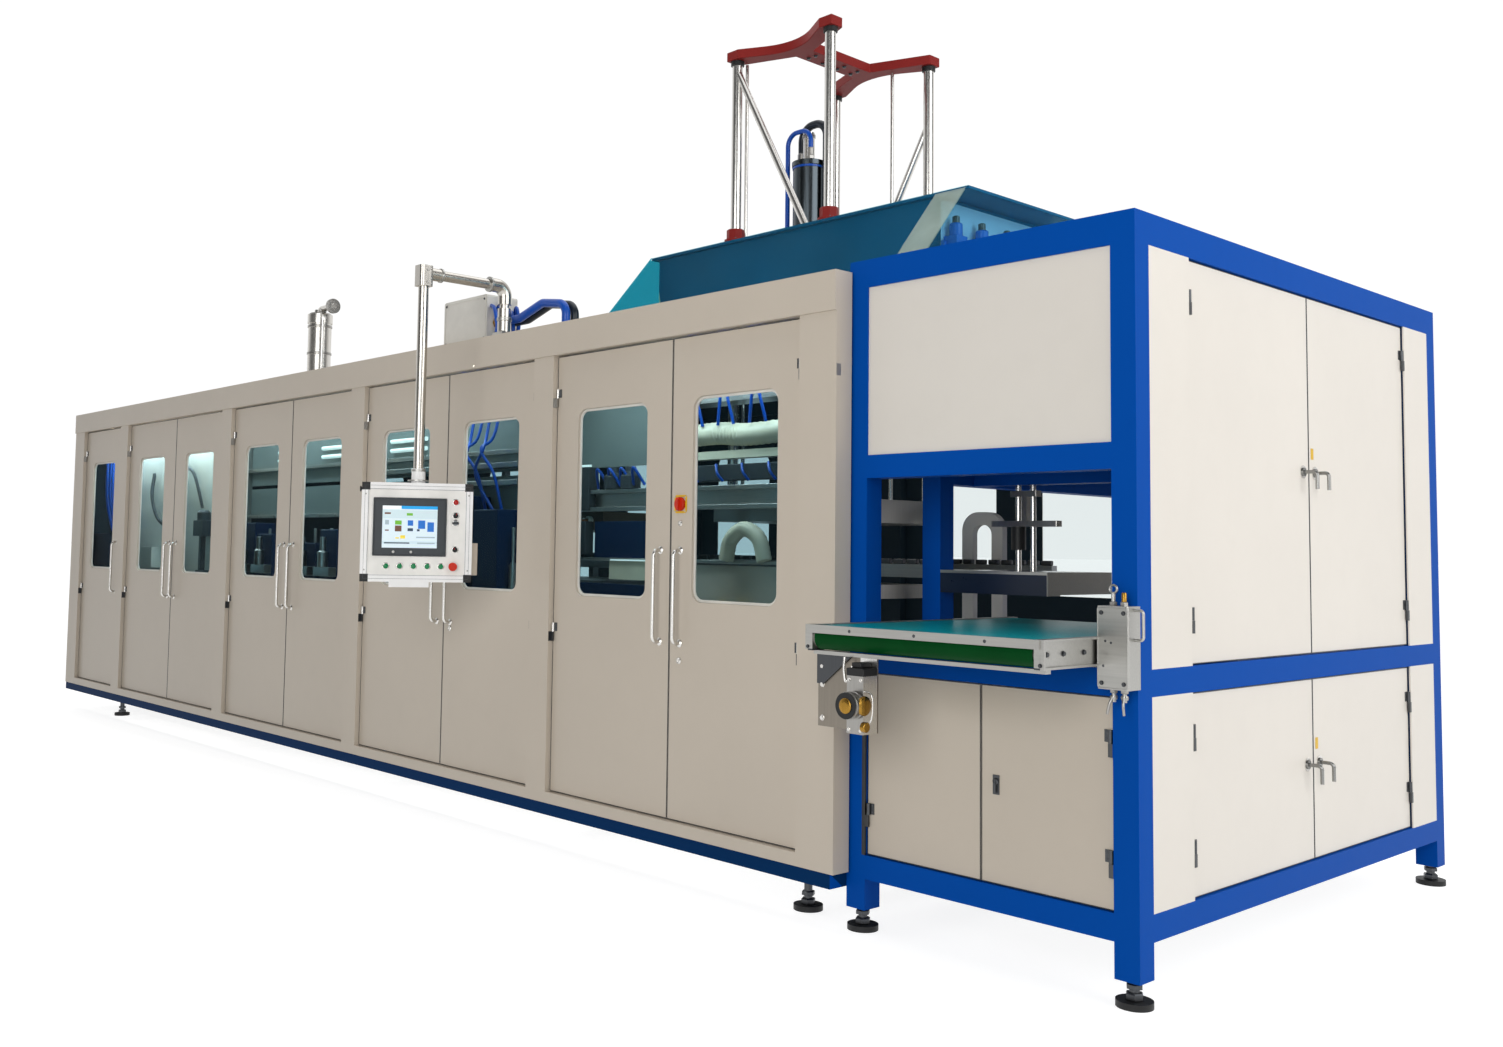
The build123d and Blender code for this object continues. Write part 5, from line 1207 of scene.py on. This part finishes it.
def dress_front_bays():
    """Pale board painted as the light seen through the first windows, roll arm, drives, tube lights and hoses
    behind the first seven windows.
    """
    left, right = -2.55, 1.15
    # Pale board standing where light from the rear windows shows: painted light
    board = Piece("pale_board_painted_light", "white_plastic", edges=0.002)
    board.box((-4.75, -0.76, 0.9), (-2.62, -0.75, UNDER_ROOF))
    board.box((-3.98, -0.84, 1.24), (-3.74, -0.76, 1.41))
    arms = Piece("roll_arms", "dark_grey", edges=0.003)
    lower = ((-3.93, 2.02), (-3.88, 1.84), (-3.76, 1.66), (-3.6, 1.56))
    upper = ((-3.3, 2.45), (-3.22, 2.1), (-3.02, 1.98), (-2.92, 1.72))
    depths = (-0.765, -0.8, -0.8, -0.765)
    for route, radius in ((lower, 0.014), (upper, 0.012)):
        arms.tube([(x, y, z) for (x, z), y in zip(route, depths)], radius)
    arms.box((-2.86, -0.86, 1.5), (-2.68, -0.76, 1.62))
    arms.turned((-2.78, -0.81, 1.62), Z, stud(0.05, 0.06, 0.03, 0.08))
    arms.box((-2.84, -0.82, 1.16), (-2.8, -0.78, 1.5))
    arms.box((-2.84, -0.84, 1.2), (-2.7, -0.76, 1.24))
    sheets = Piece("bay_sheets", "panel_grey", edges=0.001)
    for z, step in ((1.66, 0.2), (1.885, 0.1), (2.01, 0.44)):
        sheets.box((left, -0.56, z), (right, -0.55 + step * 0.1, z + step))
    bands = Piece("bay_bands", "aluminium_profile", edges=0.001)
    for z in (1.64, 1.985):
        bands.box((left, -0.6, z), (right, -0.56, z + 0.024))
    cylinder = stud(0.022, 0.13, 0.01, 0.15) + [(0.01, 0.34)]
    for place in range(16):
        x = -2.5 + place * 0.235
        bands.bolt((x, -0.6, 1.652), -Y, 0.012)
        bands.turned((x + 0.08, -0.66, 1.22), Z, cylinder, 14)
    bands.box((left, -0.7, 1.19), (right, -0.6, 1.22))
    for x in (-2.54, -0.67, 1.1):
        bands.box((x, -0.62, 1.1), (x + 0.04, -0.555, UNDER_ROOF))
    drives = Piece("bay_drives", "inside_blue", edges=0.006)
    drives.box((-4.95, -0.92, 1.15), (-4.42, -0.755, 1.52))
    tops = ((-2.26, 1.6), (-1.98, 1.52), (-1.32, 1.46), (-1.02, 1.55), (0.52, 1.74), (0.82, 1.66))
    for x, height in tops:
        drives.box((x, -0.74, 1.1), (x + 0.24, -0.58, height))
    bright = Piece("bay_cylinders", "bright_steel", edges=0.002)
    for x in (-2.14, -1.86, -1.2, -0.9):
        bright.turned((x, -0.78, 1.3), Z, [(0.035, 0), (0.035, 0.1), (0.02, 0.11), (0.02, 0.2)], 20)
        bright.box((x - 0.09, -0.8, 1.24), (x + 0.12, -0.74, 1.3))
    for z in (1.8, 1.9):
        bright.box((-0.5, -0.66, z), (1.12, -0.555, z + 0.03))
    tubes = Piece("bay_tube_lights", "tube_light")
    for start, end in ((-2.02, -1.72), (-1.34, -1.02), (-0.4, 0.02)):
        for z in (2.06, 2.12):
            tubes.rod((start, -0.572, z), (end, -0.572, z), 0.014)
    hoses = Piece("bay_hoses", "hose_blue")
    for place in range(3):
        x = -4.62 + place * 0.07
        drop = [(x, -0.9, UNDER_ROOF), (x + 0.02, -0.92, 1.9)]
        hoses.tube(drop + [(x + 0.1, -0.9, 1.6), (x + 0.16, -0.89, 1.52)], 0.011)
    for place in range(6):
        x = 0.56 + place * 0.08
        sway = 0.05 * (-1) ** place
        top = [(x, -0.62, UNDER_ROOF), (x, -0.7, 2.1)]
        hoses.tube(top + [(x + sway, -0.76, 2.00), (x - sway, -0.74, 1.86), (x + 0.03, -0.66, 1.64)], 0.009)


dress_cabinet_doors()
dress_main_switch()
dress_station_doors()
dress_feet()
dress_screen()
dress_panel()
dress_tower()
dress_guard()
dress_conveyor()
dress_motor()
dress_service_box()
dress_roof()
dress_bays()
dress_front_bays()
dress_press_bay()
for piece in Piece.made:
    piece.finish()


# Stage: floor, light and the photograph's camera
FLOOR_HALF = 900.0
FLOOR_LIGHT, FLOOR_WHITE = 0.32, 0.86
BACKDROP_WAY = (-0.75, 0.66, 0.0)


def add_floor():
    """Wide floor that looks white, also in metal and glass, and throws less light on the machine."""
    bm = bmesh.new()
    bmesh.ops.create_grid(bm, x_segments=1, y_segments=1, size=FLOOR_HALF)
    mesh = bpy.data.meshes.new("studio_floor")
    bm.to_mesh(mesh)
    bm.free()
    floor = bpy.data.objects.new("studio_floor", mesh)
    bpy.context.collection.objects.link(floor)

    def lit_white(tree):
        rays = add_node(tree, "ShaderNodeLightPath").outputs
        seen = rays["Is Camera Ray"]
        for kind in ("Is Glossy Ray", "Is Transmission Ray"):
            seen = combine(tree, "MAXIMUM", seen, rays[kind])
        return principled(tree, {
            "Base Color": ramp(tree, noise(tree, 0.5), linear("#949493"), linear("#989897")),
            "Roughness": 0.8,
            "Emission Color": (1, 1, 1, 1),
            "Emission Strength": spread(tree, seen, FLOOR_LIGHT, FLOOR_WHITE),
        })

    mesh.materials.append(material("studio_floor", lit_white))


def add_area(name, place, target, size, watts):
    """Soft box that looks at a target."""
    data = bpy.data.lights.new(name, "AREA")
    data.shape = "RECTANGLE"
    data.size, data.size_y = size
    data.energy = watts
    lamp = bpy.data.objects.new(name, data)
    bpy.context.collection.objects.link(lamp)
    lamp.location = place
    lamp.rotation_euler = (Vector(target) - Vector(place)).to_track_quat("-Z", "Y").to_euler()


def add_world():
    """White backdrop behind the machine and a dimmer studio behind the camera."""
    world = bpy.data.worlds.new("studio")
    bpy.context.scene.world = world
    world.use_nodes = True
    tree = world.node_tree
    back = tree.nodes["Background"]
    facing = along(tree, "Generated", BACKDROP_WAY)
    limits = {"From Min": -0.25, "From Max": 0.45, "To Min": 0.08, "To Max": 1.02}
    level = add_node(tree, "ShaderNodeMapRange", {"Value": facing} | limits)
    tree.links.new(level.outputs["Result"], back.inputs["Strength"])
    back.inputs["Color"].default_value = (1.0, 1.0, 1.0, 1.0)


def add_camera():
    """Camera found from the photograph's vanishing lines, placed from the station's near lower corner."""
    forward = Vector((-0.7479, 0.6606, 0.0651)).normalized()
    right = Vector((0.6627, 0.7487, 0.0157)).normalized()
    up = right.cross(forward).normalized()
    from_corner = Vector((2.2331, -4.0495, 1.4437))
    corner = Vector((RIGHT_X, FRONT_Y, 0))
    data = bpy.data.cameras.new("photo_camera")
    data.sensor_width = 36.0
    image_width, image_height = 1503, 1047
    focal_pixels, centre_x, centre_y = 1337.103, 659.5055, 463.3993
    data.lens = focal_pixels / image_width * data.sensor_width
    data.shift_x = (image_width / 2 - centre_x) / image_width
    data.shift_y = (centre_y - image_height / 2) / image_width
    data.clip_end = 3000.0
    camera = bpy.data.objects.new("photo_camera", data)
    bpy.context.collection.objects.link(camera)
    turn = Matrix((right, up, -forward)).transposed().to_4x4()
    camera.matrix_world = Matrix.Translation(corner + from_corner) @ turn
    bpy.context.scene.camera = camera


bpy.context.scene.view_settings.view_transform = "Standard"
add_floor()
add_world()
add_area("key_right", (12.0, 0.5, 4.5), (5.0, 0.4, 1.3), (7.0, 6.0), 460)
add_area("front_right", (7.0, -9.0, 3.5), (3.0, -1.0, 1.5), (6.0, 5.0), 345)
add_area("left_bay_light", (-3.5, -0.84, 2.3), (-3.5, -0.8, 1.4), (2.2, 0.08), 17)
add_area("middle_bay_light", (-0.6, -0.82, 2.45), (-0.6, -0.7, 1.5), (3.2, 0.15), 24)
add_area("press_bay_light", (2.2, -0.7, 2.45), (2.1, -0.35, 1.6), (2.0, 0.2), 18)
add_area("top_soft", (3.0, 0.0, 11.0), (2.0, 0.0, 0.0), (12.0, 8.0), 350)
add_camera()

bpy.context.view_layer.update()
